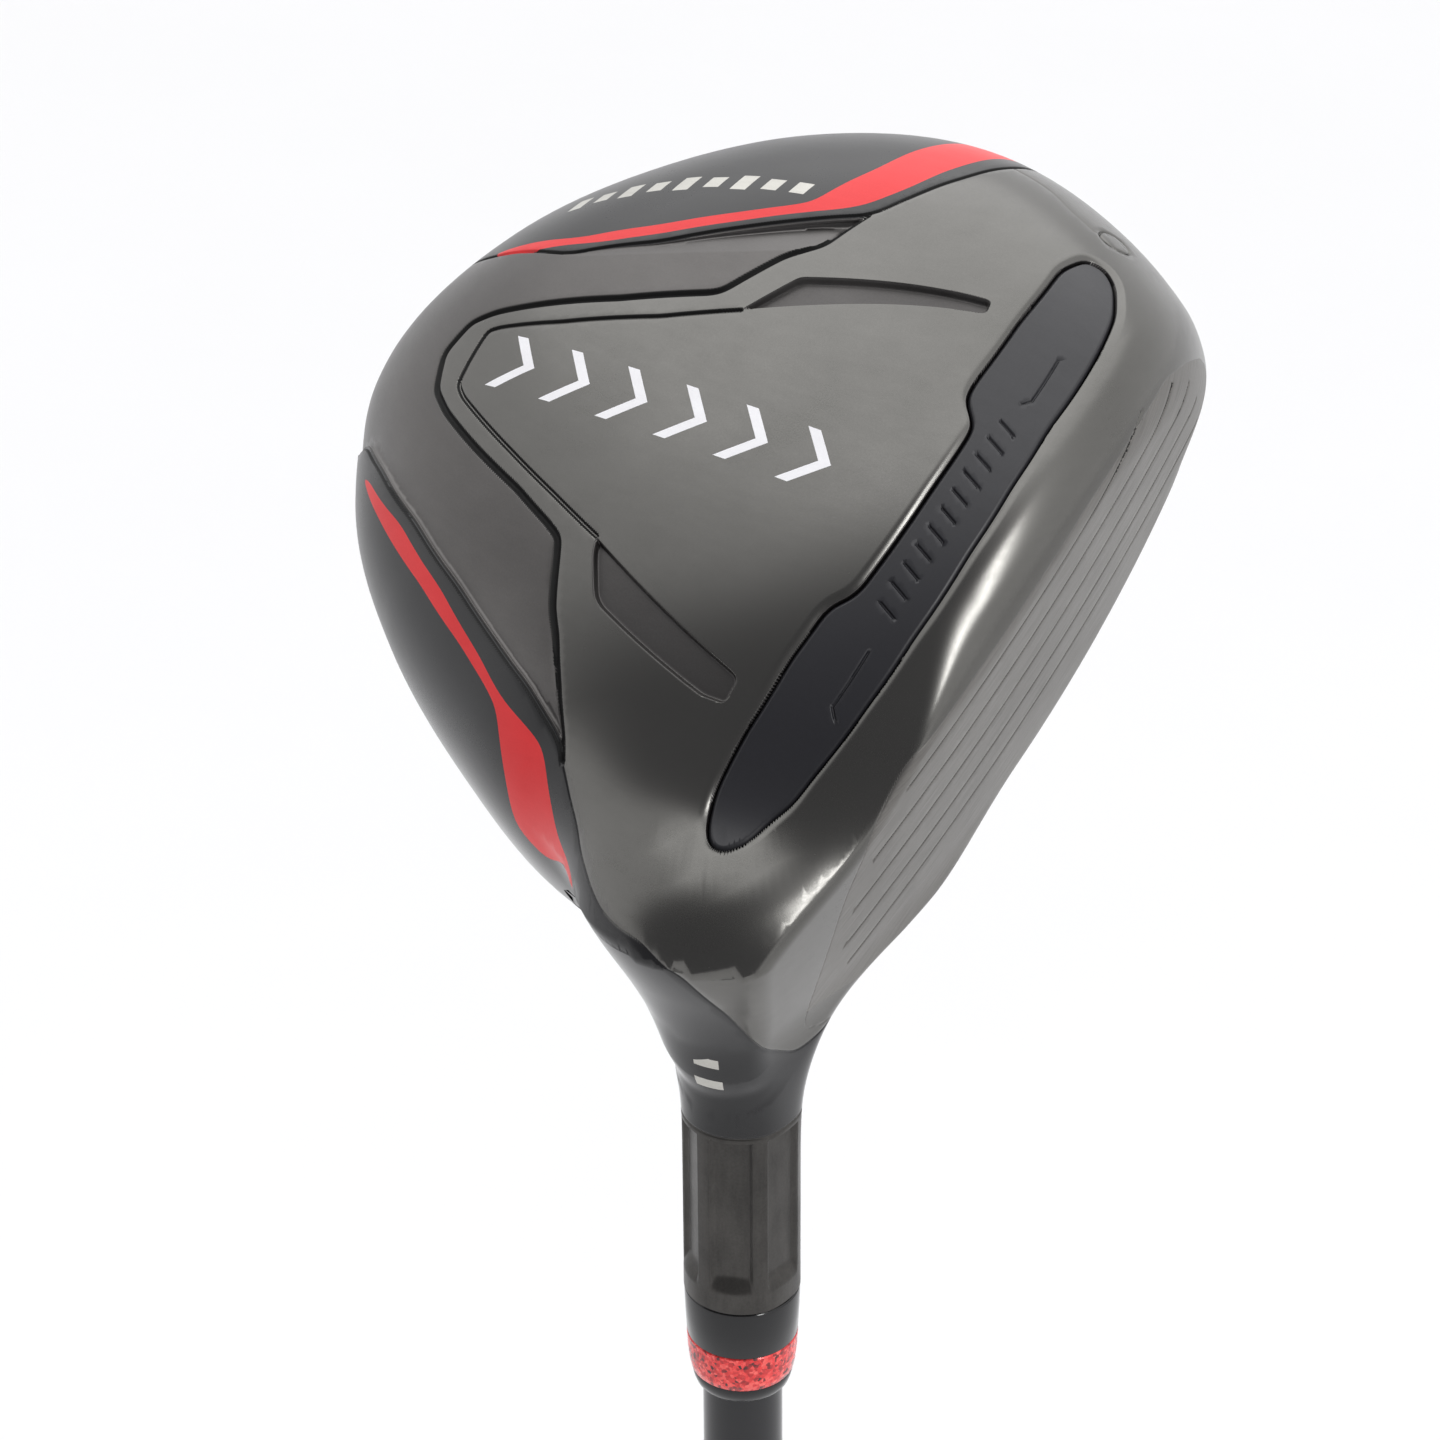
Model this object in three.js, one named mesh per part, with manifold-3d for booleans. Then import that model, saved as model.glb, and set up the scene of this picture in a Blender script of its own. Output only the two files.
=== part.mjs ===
// Fairway wood, right-handed, 15 degree loft: head, ferrule, shaft and grip.
// The shaft axis is the Z axis, the butt of the grip is at the origin and the head is at the top.
// +X is the direction the face looks in; -Y is the side the sole looks to.
import * as THREE from 'three';
import { mergeVertices } from 'three/addons/utils/BufferGeometryUtils.js';
import Module from 'manifold-3d';

const wasm = await Module();
wasm.setup();

// Driving dimensions, in millimetres and degrees.
const CLUB_LENGTH = 1098.5;
const LOFT = THREE.MathUtils.degToRad(15);
const LIE = THREE.MathUtils.degToRad(58.5);
const AXIS_TOE_OFFSET = -29.3;
const AXIS_FRONT_OFFSET = -18.4;
const BULGE_RADIUS = 335;
const ROLL_RADIUS = 320;
const FACE_CENTRE_HEIGHT = 16;
const SOLE_RADIUS_HEEL_TOE = 190;
const SOLE_RADIUS_FRONT_BACK = 330;
const BELT_HEIGHT = 27.5;
const CROWN_HEIGHT = 45;
const HOSEL_RADIUS = 6.25;
const HOSEL_TOP = 70;
const BORE_RADIUS = 4.65;
const BORE_BOTTOM = 34;
const FLUTE_COUNT = 6;
const FLUTE_WIDTH = 4.9;
const FLUTE_FLOOR_RADIUS = 5.7;
const SHELL_THICKNESS = 3.4;
const CROWN_THICKNESS = 1.4;
const FACE_THICKNESS = 1.9;
const TIP_RADIUS = 4.3;
const BUTT_RADIUS = 7.6;
const GRIP_LENGTH = 268;
const GRIP_BUTT_RADIUS = 13.4;
const GRIP_MOUTH_RADIUS = 9.3;
const CLEARANCE = 0.15;

// Distance from the middle of the body to its outline, every 22.5 degrees from the toe round
// by the face, the heel and the back.
const OUTLINE_CENTRE = { x: 2, y: -44 };
const OUTLINE_RADII = [51.8, 51, 51.2, 53, 56, 57.2, 56, 51.8, 46.4, 43, 44, 48.3, 52.5, 51.8, 50.3, 50.8];

// ---------------------------------------------------------------- head surface
// Address coordinates: x to the toe, y to the target, z up from the ground.

function outlineRadius(angle) {
  const n = OUTLINE_RADII.length;
  const place = ((angle / (2 * Math.PI)) % 1 + 1) % 1 * n;
  const i = Math.floor(place);
  const t = place - i;
  const [a, b, c, d] = [i + n - 1, i, i + 1, i + 2].map((k) => OUTLINE_RADII[k % n]);
  const cubic = 3 * b - a - 3 * c + d;
  return 0.5 * (2 * b + (c - a) * t + (2 * a - 5 * b + 4 * c - d) * t * t + cubic * t * t * t);
}

function smoothMax(a, b, k) {
  return Math.max(a, b) + Math.max(k - Math.abs(a - b), 0) ** 2 / (4 * k);
}

function smoothMin(a, b, k) {
  return -smoothMax(-a, -b, k);
}

// Zero on the rounded body of the head before the face is cut, negative inside.
function bodyShape(x, y, z) {
  const dx = x - OUTLINE_CENTRE.x;
  const dy = y - OUTLINE_CENTRE.y;
  const reach = Math.hypot(dx, dy) / outlineRadius(Math.atan2(dy, dx));
  const belt = BELT_HEIGHT + 0.09 * (y + 45);
  const power = THREE.MathUtils.lerp(4.7, 2.6, THREE.MathUtils.smoothstep(z, belt - 5, belt + 5));
  if (z < belt) {
    const sole = x ** 2 / (2 * SOLE_RADIUS_HEEL_TOE) + (y + 42) ** 2 / (2 * SOLE_RADIUS_FRONT_BACK);
    return reach ** power + ((belt - z) / Math.max(belt - sole, 4)) ** 2.5 - 1;
  }
  const fall = 0.0022 * (y + 22) ** 2 * (y < -22 ? 1 : 0.5) + 0.0012 * x ** 2;
  return reach ** power + ((z - belt) / Math.max(CROWN_HEIGHT - fall - belt, 4)) ** 1.9 - 1;
}

// The same shape divided by its slope, so that it reads in millimetres near the surface.
function bodyDistance(x, y, z) {
  const e = 0.05;
  const gx = bodyShape(x + e, y, z) - bodyShape(x - e, y, z);
  const gy = bodyShape(x, y + e, z) - bodyShape(x, y - e, z);
  const gz = bodyShape(x, y, z + e) - bodyShape(x, y, z - e);
  return bodyShape(x, y, z) / Math.max(Math.hypot(gx, gy, gz) / (2 * e), 0.012);
}

function faceY(x, z) {
  return -z * Math.tan(LOFT) - x * x / (2 * BULGE_RADIUS) - (z - FACE_CENTRE_HEIGHT) ** 2 / (2 * ROLL_RADIUS);
}

// Height along the shaft axis from the ground, and distance from that axis.
function axisPlace(x, y, z) {
  const rx = x - AXIS_TOE_OFFSET;
  const ry = y - AXIS_FRONT_OFFSET;
  const along = -rx * Math.cos(LIE) + z * Math.sin(LIE);
  const px = rx + along * Math.cos(LIE);
  const pz = z - along * Math.sin(LIE);
  return { along, away: Math.hypot(px, ry, pz) };
}

function headDistance(x, y, z) {
  const { along, away } = axisPlace(x, y, z);
  const flare = 10.5 * THREE.MathUtils.clamp((47.5 - along) / 26, 0, 1) ** 2;
  const neck = smoothMax(away - HOSEL_RADIUS - flare, 14 - along, 14);
  const whole = smoothMin(bodyDistance(x, y, z), neck, 10);
  const face = (y - Math.max(faceY(x, z), AXIS_FRONT_OFFSET + HOSEL_RADIUS + 0.1)) * Math.cos(LOFT);
  const edge = 0.8 + 5.2 * THREE.MathUtils.clamp((x + 24) / 16, 0, 1);
  return smoothMax(whole, face, edge);
}

// First place along a ray where the field turns positive.
function march(field, from, way, reach = 80) {
  const at = (r) => field(from.x + way.x * r, from.y + way.y * r, from.z + way.z * r);
  let inside = 0;
  let outside = reach;
  for (let r = 1; r < reach; r += 1.5) {
    if (at(r) > 0) {
      outside = r;
      break;
    }
    inside = r;
  }
  for (let k = 0; k < 18; k += 1) {
    const middle = (inside + outside) / 2;
    if (at(middle) > 0) outside = middle;
    else inside = middle;
  }
  return new THREE.Vector3().copy(from).addScaledVector(way, (inside + outside) / 2);
}

// The head is swept in sections: upright ones from the toe inwards, then a fan about a line above
// the heel, then ones square to the shaft up the hosel.
const FAN_X = -12;
const FAN_Z = 59.9;

function section(kind, value) {
  if (kind === 'upright') {
    return { centre: new THREE.Vector3(value, -43, 24), up: new THREE.Vector3(0, 0, 1) };
  }
  const turn = kind === 'fan' ? value : LIE;
  const ease = THREE.MathUtils.smoothstep(turn, 0.3 * LIE, LIE);
  const up = new THREE.Vector3(Math.sin(turn), 0, Math.cos(turn));
  const drop = 36 + 10 * turn / LIE;
  const centre = new THREE.Vector3(FAN_X, THREE.MathUtils.lerp(-43, AXIS_FRONT_OFFSET, ease), FAN_Z);
  centre.addScaledVector(up, -drop);
  if (kind === 'hosel') {
    const extra = value - 42;
    centre.x -= extra * Math.cos(LIE);
    centre.z += extra * Math.sin(LIE);
  }
  return { centre, up };
}

function sectionRays(place, count) {
  const front = new THREE.Vector3(0, 1, 0);
  return Array.from({ length: count }, (_, k) => {
    const a = 2 * Math.PI * k / count;
    return front.clone().multiplyScalar(Math.cos(a)).addScaledVector(place.up, Math.sin(a));
  });
}

// A closed skin through rings of points, with a point or a flat middle at each end.
function skinFromRings(rings, first, last) {
  const count = rings[0].length;
  const points = [first, ...rings.flat(), last];
  const faces = [];
  const at = (i, k) => 1 + i * count + (k % count);
  for (let k = 0; k < count; k += 1) {
    faces.push(0, at(0, k), at(0, k + 1));
    for (let i = 0; i + 1 < rings.length; i += 1) {
      faces.push(at(i, k), at(i + 1, k), at(i + 1, k + 1));
      faces.push(at(i, k), at(i + 1, k + 1), at(i, k + 1));
    }
    faces.push(points.length - 1, at(rings.length - 1, k + 1), at(rings.length - 1, k));
  }
  return solidFromArrays(points.flatMap((p) => [p.x, p.y, p.z]), faces);
}

const UPRIGHTS = [52.6, 50.2, 46, 40, 32.5, 24, 15, 6, -3];
const FANS = [0, 8, 16, 24, 32, 39, 45, 51, 56];
const HOSELS = [42, 46, 51, HOSEL_TOP];
const RAYS = 32;

// The head with every surface moved in by depth.
function headSolid(depth) {
  const field = (x, y, z) => headDistance(x, y, z) + depth;
  const places = [
    ...UPRIGHTS.map((x) => section('upright', x - depth)),
    ...FANS.map((d) => section('fan', THREE.MathUtils.degToRad(d))),
    ...HOSELS.map((t) => section('hosel', t)),
  ];
  const rings = places.map((p) => sectionRays(p, RAYS).map((way) => march(field, p.centre, way)));
  const toe = march(field, new THREE.Vector3(40, -43, 24), new THREE.Vector3(1, 0, 0), 20);
  const top = places[places.length - 1].centre;
  return skinFromRings(rings, toe, top);
}

// The hollow in the body, kept clear of the metal round the shaft bore.
function cavitySolid() {
  const field = (x, y, z) => {
    const { along, away } = axisPlace(x, y, z);
    const boss = along > 22 ? BORE_RADIUS + 3 - away : -1;
    return Math.max(headDistance(x, y, z) + SHELL_THICKNESS, boss);
  };
  const places = [
    ...[47, 42, 34, 23, 11, -2].map((x) => section('upright', x)),
    ...[4, 14, 23].map((d) => section('fan', THREE.MathUtils.degToRad(d))),
  ];
  const rings = places.map((p) => sectionRays(p, 24).map((way) => march(field, p.centre, way)));
  const toe = march(field, new THREE.Vector3(40, -43, 24), new THREE.Vector3(1, 0, 0), 20);
  return skinFromRings(rings, toe, places[places.length - 1].centre);
}

// ---------------------------------------------------------------- solids

function solidFromArrays(positions, faces) {
  const geometry = new THREE.BufferGeometry();
  geometry.setAttribute('position', new THREE.Float32BufferAttribute(positions, 3));
  geometry.setIndex(faces);
  return solid(geometry);
}

function solid(source) {
  let geometry = source.clone();
  geometry.deleteAttribute('normal');
  geometry.deleteAttribute('uv');
  geometry = mergeVertices(geometry, 1e-4);
  return new wasm.Manifold(new wasm.Mesh({
    numProp: 3,
    vertProperties: new Float32Array(geometry.attributes.position.array),
    triVerts: new Uint32Array(geometry.index.array),
  }));
}

function geometryOf(shape) {
  const mesh = shape.getMesh();
  const geometry = new THREE.BufferGeometry();
  geometry.setAttribute('position', new THREE.BufferAttribute(mesh.vertProperties, 3));
  geometry.setIndex(new THREE.BufferAttribute(mesh.triVerts, 1));
  geometry.computeVertexNormals();
  return geometry;
}

// From address coordinates to the part's own frame.
const TO_PART = new THREE.Matrix4().set(
  0, 1, 0, -AXIS_FRONT_OFFSET,
  Math.sin(LIE), 0, Math.cos(LIE), -AXIS_TOE_OFFSET * Math.sin(LIE),
  Math.cos(LIE), 0, -Math.sin(LIE), CLUB_LENGTH - AXIS_TOE_OFFSET * Math.cos(LIE),
  0, 0, 0, 1,
);

// An outline in plan, made into a prism between two heights.
function planPrism(points, low, high) {
  const shape = new THREE.Shape(points.map(([x, y]) => new THREE.Vector2(x, y)));
  const geometry = new THREE.ExtrudeGeometry(shape, { depth: high - low, bevelEnabled: false });
  geometry.translate(0, 0, low);
  return solid(geometry);
}

// An outline seen from the front (x, z), made into a prism between two y values.
function frontPrism(points, back, front) {
  const shape = new THREE.Shape(points.map(([x, z]) => new THREE.Vector2(x, z)));
  const geometry = new THREE.ExtrudeGeometry(shape, { depth: front - back, bevelEnabled: false });
  geometry.applyMatrix4(new THREE.Matrix4().set(
    1, 0, 0, 0,
    0, 0, -1, front,
    0, 1, 0, 0,
    0, 0, 0, 1,
  ));
  return solid(geometry);
}

// A rounded loop through the given points.
function smoothLoop(points, count) {
  const knots = points.map(([x, y]) => new THREE.Vector3(x, y, 0));
  const curve = new THREE.CatmullRomCurve3(knots, true, 'centripetal');
  return curve.getPoints(count).slice(0, count).map((p) => [p.x, p.y]);
}

// The loop moved inwards by a distance.
function inset(points, distance) {
  const turn = Math.sign(THREE.ShapeUtils.area(points.map(([x, y]) => ({ x, y }))));
  const n = points.length;
  return points.map(([x, y], k) => {
    const [ax, ay] = points[(k + n - 1) % n];
    const [bx, by] = points[(k + 1) % n];
    const before = new THREE.Vector2(x - ax, y - ay).normalize();
    const after = new THREE.Vector2(bx - x, by - y).normalize();
    const way = before.clone().add(after).normalize();
    const shift = turn * distance / Math.max(way.dot(after), 0.4);
    return [x - way.y * shift, y + way.x * shift];
  });
}

// A ring shape turned about the shaft axis; the profile is a closed list of [radius, z].
function turned(profile, segments = 32) {
  const points = [...profile, profile[0]].map(([r, z]) => new THREE.Vector2(r, z));
  const geometry = new THREE.LatheGeometry(points, segments);
  geometry.rotateX(Math.PI / 2);
  return geometry;
}

// ---------------------------------------------------------------- outlines on the head

const CROWN_EDGE = smoothLoop([
  [42, -27], [48, -44], [44, -61], [33.5, -75.5], [19.5, -86.5], [2, -90.5], [-13.5, -83],
  [-24.5, -71], [-32, -58], [-36.5, -45], [-35, -34], [-27, -26], [-10, -21], [10, -19], [29, -20],
], 36);

const FACE_EDGE = smoothLoop([
  [-24, 11.5], [-10, 9], [0, 8.5], [10, 9], [20, 11.3], [29, 16], [35, 22.5], [36.5, 28],
  [33, 33.5], [26, 37], [14, 39], [0, 39.8], [-14, 39], [-26, 37], [-35, 34.5], [-40, 28], [-38, 20], [-32, 14.5],
], 32);

// The pocket behind the leading edge is wider towards both ends.
const SLOT_EDGE = smoothLoop([
  [-3, -7.6], [14, -8.4], [23, -9.4], [32, -12], [36.8, -15.4], [38, -19.2], [34.4, -20.8], [25, -19.4],
  [16, -18.5], [12.9, -17.9], [10.7, -15.7], [8.5, -15.2], [0, -15], [-9, -15.4], [-12, -16.2], [-14.4, -18.2],
  [-20.6, -19.1], [-29, -20.4], [-36, -20.6], [-40, -18.4], [-40.4, -15.8], [-38, -13.8], [-32, -12], [-22, -9.5],
  [-13, -8.2],
], 44);

const CHANNEL = [
  [30.5, -43], [24.2, -44.4], [16.2, -50.2], [4.6, -78], [-5, -77.6], [-16.6, -52], [-25.2, -45.9], [-35, -41],
  [-35, -40.2], [-24.8, -44.9], [-16, -49.4], [-4.1, -75.2], [3.8, -75.2], [14.4, -49.2], [23.8, -43.5],
  [30.5, -42.2],
];
const TOE_POCKET = [[14.2, -46.8], [20.2, -43], [25.8, -22.8], [23.8, -22.4]];
const HEEL_POCKET = [[-16.6, -46.6], [-23, -42.6], [-27.3, -23.7], [-24.9, -23.2]];
const TOE_STRIPE = [
  [14.4, -84.8], [30.3, -51], [31.3, -49.3], [40.8, -47], [49.4, -46], [50, -38.8], [39.6, -40.4],
  [31.7, -42.3], [28.4, -48.1], [13.4, -83.6],
];
const HEEL_STRIPE = [
  [-15.2, -82.8], [-34.8, -50.6], [-37.2, -48.9], [-41.8, -45.6], [-42.8, -42], [-39.2, -41],
  [-36.4, -43.1], [-34.7, -47.6], [-33.7, -49.8], [-14.2, -82],
];
const SCORE_LINES = [
  { height: 12.5, from: -25, to: 24 },
  { height: 17, from: -32, to: 29 },
  { height: 21.6, from: -36, to: 32 },
  { height: 26.2, from: -37.5, to: 33.5 },
  { height: 30.8, from: -37.5, to: 32 },
];
const TOE_PORT = new THREE.Vector3(43.9, -21.4, 15.3);

// ---------------------------------------------------------------- head pieces

const layers = new Map();

function layer(depth) {
  if (!layers.has(depth)) layers.set(depth, headSolid(depth));
  return layers.get(depth);
}

// The part of a prism between two depths under the head's surface.
function skinPatch(prism, top, bottom) {
  return prism.intersect(layer(top)).subtract(layer(bottom));
}

// The recess a prism leaves in the head when it goes down to a depth.
function recess(prism, depth) {
  return prism.subtract(layer(depth));
}

function inAddress(geometry) {
  return geometry.clone().applyMatrix4(TO_PART.clone().invert());
}

function flutes() {
  const low = CLUB_LENGTH - 67.5;
  const high = CLUB_LENGTH - 48;
  const half = FLUTE_WIDTH / 2;
  const shape = new THREE.Shape();
  shape.moveTo(-half, low + 2);
  shape.quadraticCurveTo(-half, low, 0, low);
  shape.quadraticCurveTo(half, low, half, low + 2);
  shape.lineTo(half, high);
  shape.lineTo(-half, high);
  shape.closePath();
  const geometry = new THREE.ExtrudeGeometry(shape, { depth: 3, bevelEnabled: false, curveSegments: 4 });
  geometry.applyMatrix4(new THREE.Matrix4().set(
    0, 0, 1, FLUTE_FLOOR_RADIUS,
    1, 0, 0, 0,
    0, 1, 0, 0,
    0, 0, 0, 1,
  ));
  return Array.from({ length: FLUTE_COUNT }, (_, k) => {
    const copy = geometry.clone().rotateZ(2 * Math.PI * k / FLUTE_COUNT);
    return solid(inAddress(copy));
  });
}

function shaftBore() {
  const low = CLUB_LENGTH - HOSEL_TOP - 1;
  const high = CLUB_LENGTH - BORE_BOTTOM;
  return solid(inAddress(turned([[0, low], [BORE_RADIUS, low], [BORE_RADIUS, high], [0, high]])));
}

// A short cylinder let into the head at the toe port, square to the surface.
function portCylinder(radius, depth) {
  const e = 0.1;
  const p = TOE_PORT;
  const out = new THREE.Vector3(
    headDistance(p.x + e, p.y, p.z) - headDistance(p.x - e, p.y, p.z),
    headDistance(p.x, p.y + e, p.z) - headDistance(p.x, p.y - e, p.z),
    headDistance(p.x, p.y, p.z + e) - headDistance(p.x, p.y, p.z - e),
  ).normalize();
  const geometry = new THREE.CylinderGeometry(radius, radius, depth + 3, 24);
  geometry.applyQuaternion(new THREE.Quaternion().setFromUnitVectors(new THREE.Vector3(0, 1, 0), out));
  const middle = p.clone().addScaledVector(out, (3 - depth) / 2);
  geometry.translate(middle.x, middle.y, middle.z);
  return solid(geometry);
}

// A row of chevrons on a thin line, pointing to the face.
function chevronRow() {
  let row = planPrism([[-0.35, -71], [0.35, -71], [0.35, -25], [-0.35, -25]], -4, 8);
  for (let y = -66; y <= -25; y += 8) {
    row = row.add(planPrism([
      [0, y], [3.4, y - 3.4], [3.4, y - 5], [0, y - 1.6], [-3.4, y - 5], [-3.4, y - 3.4],
    ], -4, 8));
  }
  return row;
}

function chevronRecess() {
  let row = planPrism([[-0.5, -71.15], [0.5, -71.15], [0.5, -24.8], [-0.5, -24.8]], -4, 8);
  for (let y = -66; y <= -25; y += 8) {
    row = row.add(planPrism([
      [0, y + 0.2], [3.55, y - 3.35], [3.55, y - 5.35], [0, y - 1.8], [-3.55, y - 5.35], [-3.55, y - 3.35],
    ], -4, 8));
  }
  return row;
}

function scoreLine({ height, from, to }) {
  const back = Array.from({ length: 13 }, (_, k) => {
    const x = THREE.MathUtils.lerp(from, to, k / 12);
    return [x, faceY(x, height) - 0.35];
  });
  return planPrism([...back, [to, 2], [from, 2]], height - 0.35, height + 0.35);
}

// Short marks cut into the slot filler.
function fillerMarks() {
  const marks = [[22.5, -12.9, 16, -12], [-16.7, -12, -23.1, -13.1]];
  for (let x = -12; x <= 12; x += 4) marks.push([x, -12.6, x + 0.8, -10.2]);
  return marks.map(([ax, ay, bx, by]) => {
    const across = new THREE.Vector2(by - ay, ax - bx).normalize().multiplyScalar(0.3);
    return planPrism([
      [ax - across.x, ay - across.y], [bx - across.x, by - across.y],
      [bx + across.x, by + across.y], [ax + across.x, ay + across.y],
    ], -4, 12);
  });
}

function headBody() {
  const outerCuts = [
    recess(planPrism(CROWN_EDGE, 25, 60), 2),
    recess(frontPrism(FACE_EDGE, -17, 8), 2.2),
    recess(planPrism(SLOT_EDGE, -4, 15), 2.5),
    recess(planPrism(CHANNEL, -4, 14), 0.8),
    recess(planPrism(TOE_POCKET, -4, 14), 0.8),
    recess(planPrism(HEEL_POCKET, -4, 14), 0.8),
    recess(planPrism(TOE_STRIPE, -4, 22), 0.5),
    recess(planPrism(HEEL_STRIPE, -4, 24), 0.5),
    recess(chevronRecess(), 0.5),
    planPrism(inset(CROWN_EDGE, 7), 25, 60),
    frontPrism(inset(FACE_EDGE, 4), -17, 8),
    portCylinder(1.6, 2.6),
    shaftBore(),
    ...flutes(),
  ];
  return outerCuts.reduce((body, cut) => body.subtract(cut), layer(0).subtract(cavitySolid()));
}

function crownPanel() {
  return skinPatch(planPrism(inset(CROWN_EDGE, CLEARANCE), 25, 60), 0, CROWN_THICKNESS);
}

function crownBond() {
  const ring = planPrism(inset(CROWN_EDGE, 0.6), 25, 60);
  const window = planPrism(inset(CROWN_EDGE, 6.4), 24, 61);
  return skinPatch(ring.subtract(window), 1.5, 1.9);
}

function facePlate() {
  const blank = skinPatch(frontPrism(inset(FACE_EDGE, CLEARANCE), -17, 8), 0, FACE_THICKNESS);
  return SCORE_LINES.reduce((plate, line) => plate.subtract(scoreLine(line)), blank);
}

function slotFiller() {
  const blank = skinPatch(planPrism(inset(SLOT_EDGE, CLEARANCE), -4, 15), 0.4, 2.2);
  const marks = fillerMarks().map((mark) => recess(mark, 0.8));
  return marks.reduce((filler, mark) => filler.subtract(mark), blank);
}

function toePortPlug() {
  return portCylinder(1.45, 2.3).intersect(layer(0));
}

function toeStripe() {
  return skinPatch(planPrism(inset(TOE_STRIPE, 0.12), -4, 22), 0, 0.4);
}

function heelStripe() {
  return skinPatch(planPrism(inset(HEEL_STRIPE, 0.12), -4, 24), 0, 0.4);
}

function soleChevrons() {
  return skinPatch(chevronRow(), 0, 0.4);
}

// ---------------------------------------------------------------- shaft, ferrule and grip

const FERRULE_TOP = CLUB_LENGTH - HOSEL_TOP - 0.1;
const RING_TOP = CLUB_LENGTH - 76;
const RING_BOTTOM = CLUB_LENGTH - 80.6;
const FERRULE_BOTTOM = CLUB_LENGTH - 82.6;
const TIP_END = CLUB_LENGTH - 36;
const TAPER_START = CLUB_LENGTH - 150;
const BUTT_END = 4.6;

function shaftRadius(z) {
  const t = THREE.MathUtils.clamp((TAPER_START - z) / (TAPER_START - 60), 0, 1);
  return THREE.MathUtils.lerp(TIP_RADIUS, BUTT_RADIUS, t);
}

function shaftTube() {
  const outer = [BUTT_END, 60, TAPER_START, TIP_END].map((z) => [shaftRadius(z), z]);
  const inner = [TIP_END, TAPER_START, 60, BUTT_END].map((z) => [shaftRadius(z) - 1.2, z]);
  return turned([...outer, ...inner]);
}

function shaftBond() {
  const low = CLUB_LENGTH - HOSEL_TOP + 0.4;
  return turned([[4.36, low], [4.58, low], [4.58, TIP_END], [4.36, TIP_END]]);
}

function shaftBand() {
  const low = CLUB_LENGTH - 330;
  const high = CLUB_LENGTH - 250;
  const ring = [[0.04, low], [0.12, low], [0.12, high], [0.04, high]];
  return turned(ring.map(([r, z]) => [shaftRadius(z) + r, z]));
}

function ferruleCollar() {
  return turned([
    [4.45, RING_TOP + 0.05], [5.95, RING_TOP + 0.05], [6.05, RING_TOP + 0.25], [6.2, FERRULE_TOP - 2],
    [6.2, FERRULE_TOP - 0.3], [6, FERRULE_TOP], [4.45, FERRULE_TOP],
  ]);
}

function ferruleRing() {
  return turned([
    [4.45, RING_BOTTOM + 0.05], [5.55, RING_BOTTOM + 0.05], [5.7, RING_BOTTOM + 0.3],
    [6, RING_TOP - 0.3], [5.9, RING_TOP - 0.05], [4.45, RING_TOP - 0.05],
  ]);
}

function ferruleCap() {
  return turned([
    [4.45, FERRULE_BOTTOM], [4.8, FERRULE_BOTTOM], [5.2, FERRULE_BOTTOM + 0.35],
    [5.5, RING_BOTTOM - 0.4], [5.5, RING_BOTTOM - 0.05], [4.45, RING_BOTTOM - 0.05],
  ]);
}

function gripTape() {
  const heights = [6, 60, GRIP_LENGTH - 5];
  const outer = heights.map((z) => [shaftRadius(z) + 0.2, z]);
  const inner = heights.map((z) => [shaftRadius(z) + 0.06, z]).reverse();
  return turned([...outer, ...inner]);
}

function gripRadius(z) {
  const t = THREE.MathUtils.clamp(z / GRIP_LENGTH, 0, 1);
  return THREE.MathUtils.lerp(GRIP_BUTT_RADIUS, GRIP_MOUTH_RADIUS, t ** 0.8);
}

// The rubber sleeve, with a raised lip at the butt and shallow ring grooves near the mouth.
function gripSleeve() {
  const outer = [[GRIP_BUTT_RADIUS + 0.4, 4.2], [GRIP_BUTT_RADIUS + 0.4, 7], [gripRadius(9), 9]];
  for (const z of [60, 130, 200, 236]) outer.push([gripRadius(z), z]);
  for (const z of [244, 252]) {
    const r = gripRadius(z);
    outer.push([r, z], [r - 0.6, z + 0.4], [r - 0.6, z + 1.2], [r, z + 1.6]);
  }
  outer.push([gripRadius(264), 264], [shaftRadius(268) + 0.9, GRIP_LENGTH]);
  const inner = [GRIP_LENGTH, 60, 4.2].map((z) => [shaftRadius(z) + 0.3, z]);
  return turned([...outer, ...inner], 28);
}

// The closed end of the grip, with the small vent hole through its middle.
function gripCap() {
  return turned([
    [1.2, 0], [12, 0], [13.3, 1], [GRIP_BUTT_RADIUS + 0.3, 2.4], [GRIP_BUTT_RADIUS + 0.3, 4],
    [5.9, 4], [5.9, 9], [1.2, 9],
  ], 28);
}

// ---------------------------------------------------------------- materials

function material(color, roughness, metalness) {
  return new THREE.MeshStandardMaterial({ color, roughness, metalness });
}

const steel = () => material(0x63645c, 0.34, 0.85);
const faceSteel = () => material(0x79776f, 0.42, 0.9);
const carbon = () => material(0x151517, 0.35, 0.1);
const blackPlastic = () => material(0x0d0d0f, 0.22, 0);
const rubber = () => material(0x1c1c1e, 0.85, 0);
const fillerRubber = () => material(0x2e2e34, 0.6, 0);
const redPaint = () => material(0xc93a34, 0.35, 0);
const whitePaint = () => material(0xf1efe9, 0.4, 0);
const epoxy = () => material(0x8d8567, 0.5, 0);
const tape = () => material(0xd9cfb2, 0.8, 0);

// ---------------------------------------------------------------- assembly

const club = new THREE.Group();
const head = new THREE.Group();
head.quaternion.setFromRotationMatrix(TO_PART);
head.position.setFromMatrixPosition(TO_PART);
club.add(head);

function place(parent, name, geometry, surface) {
  const mesh = new THREE.Mesh(geometry, surface);
  mesh.name = name;
  parent.add(mesh);
}

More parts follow.
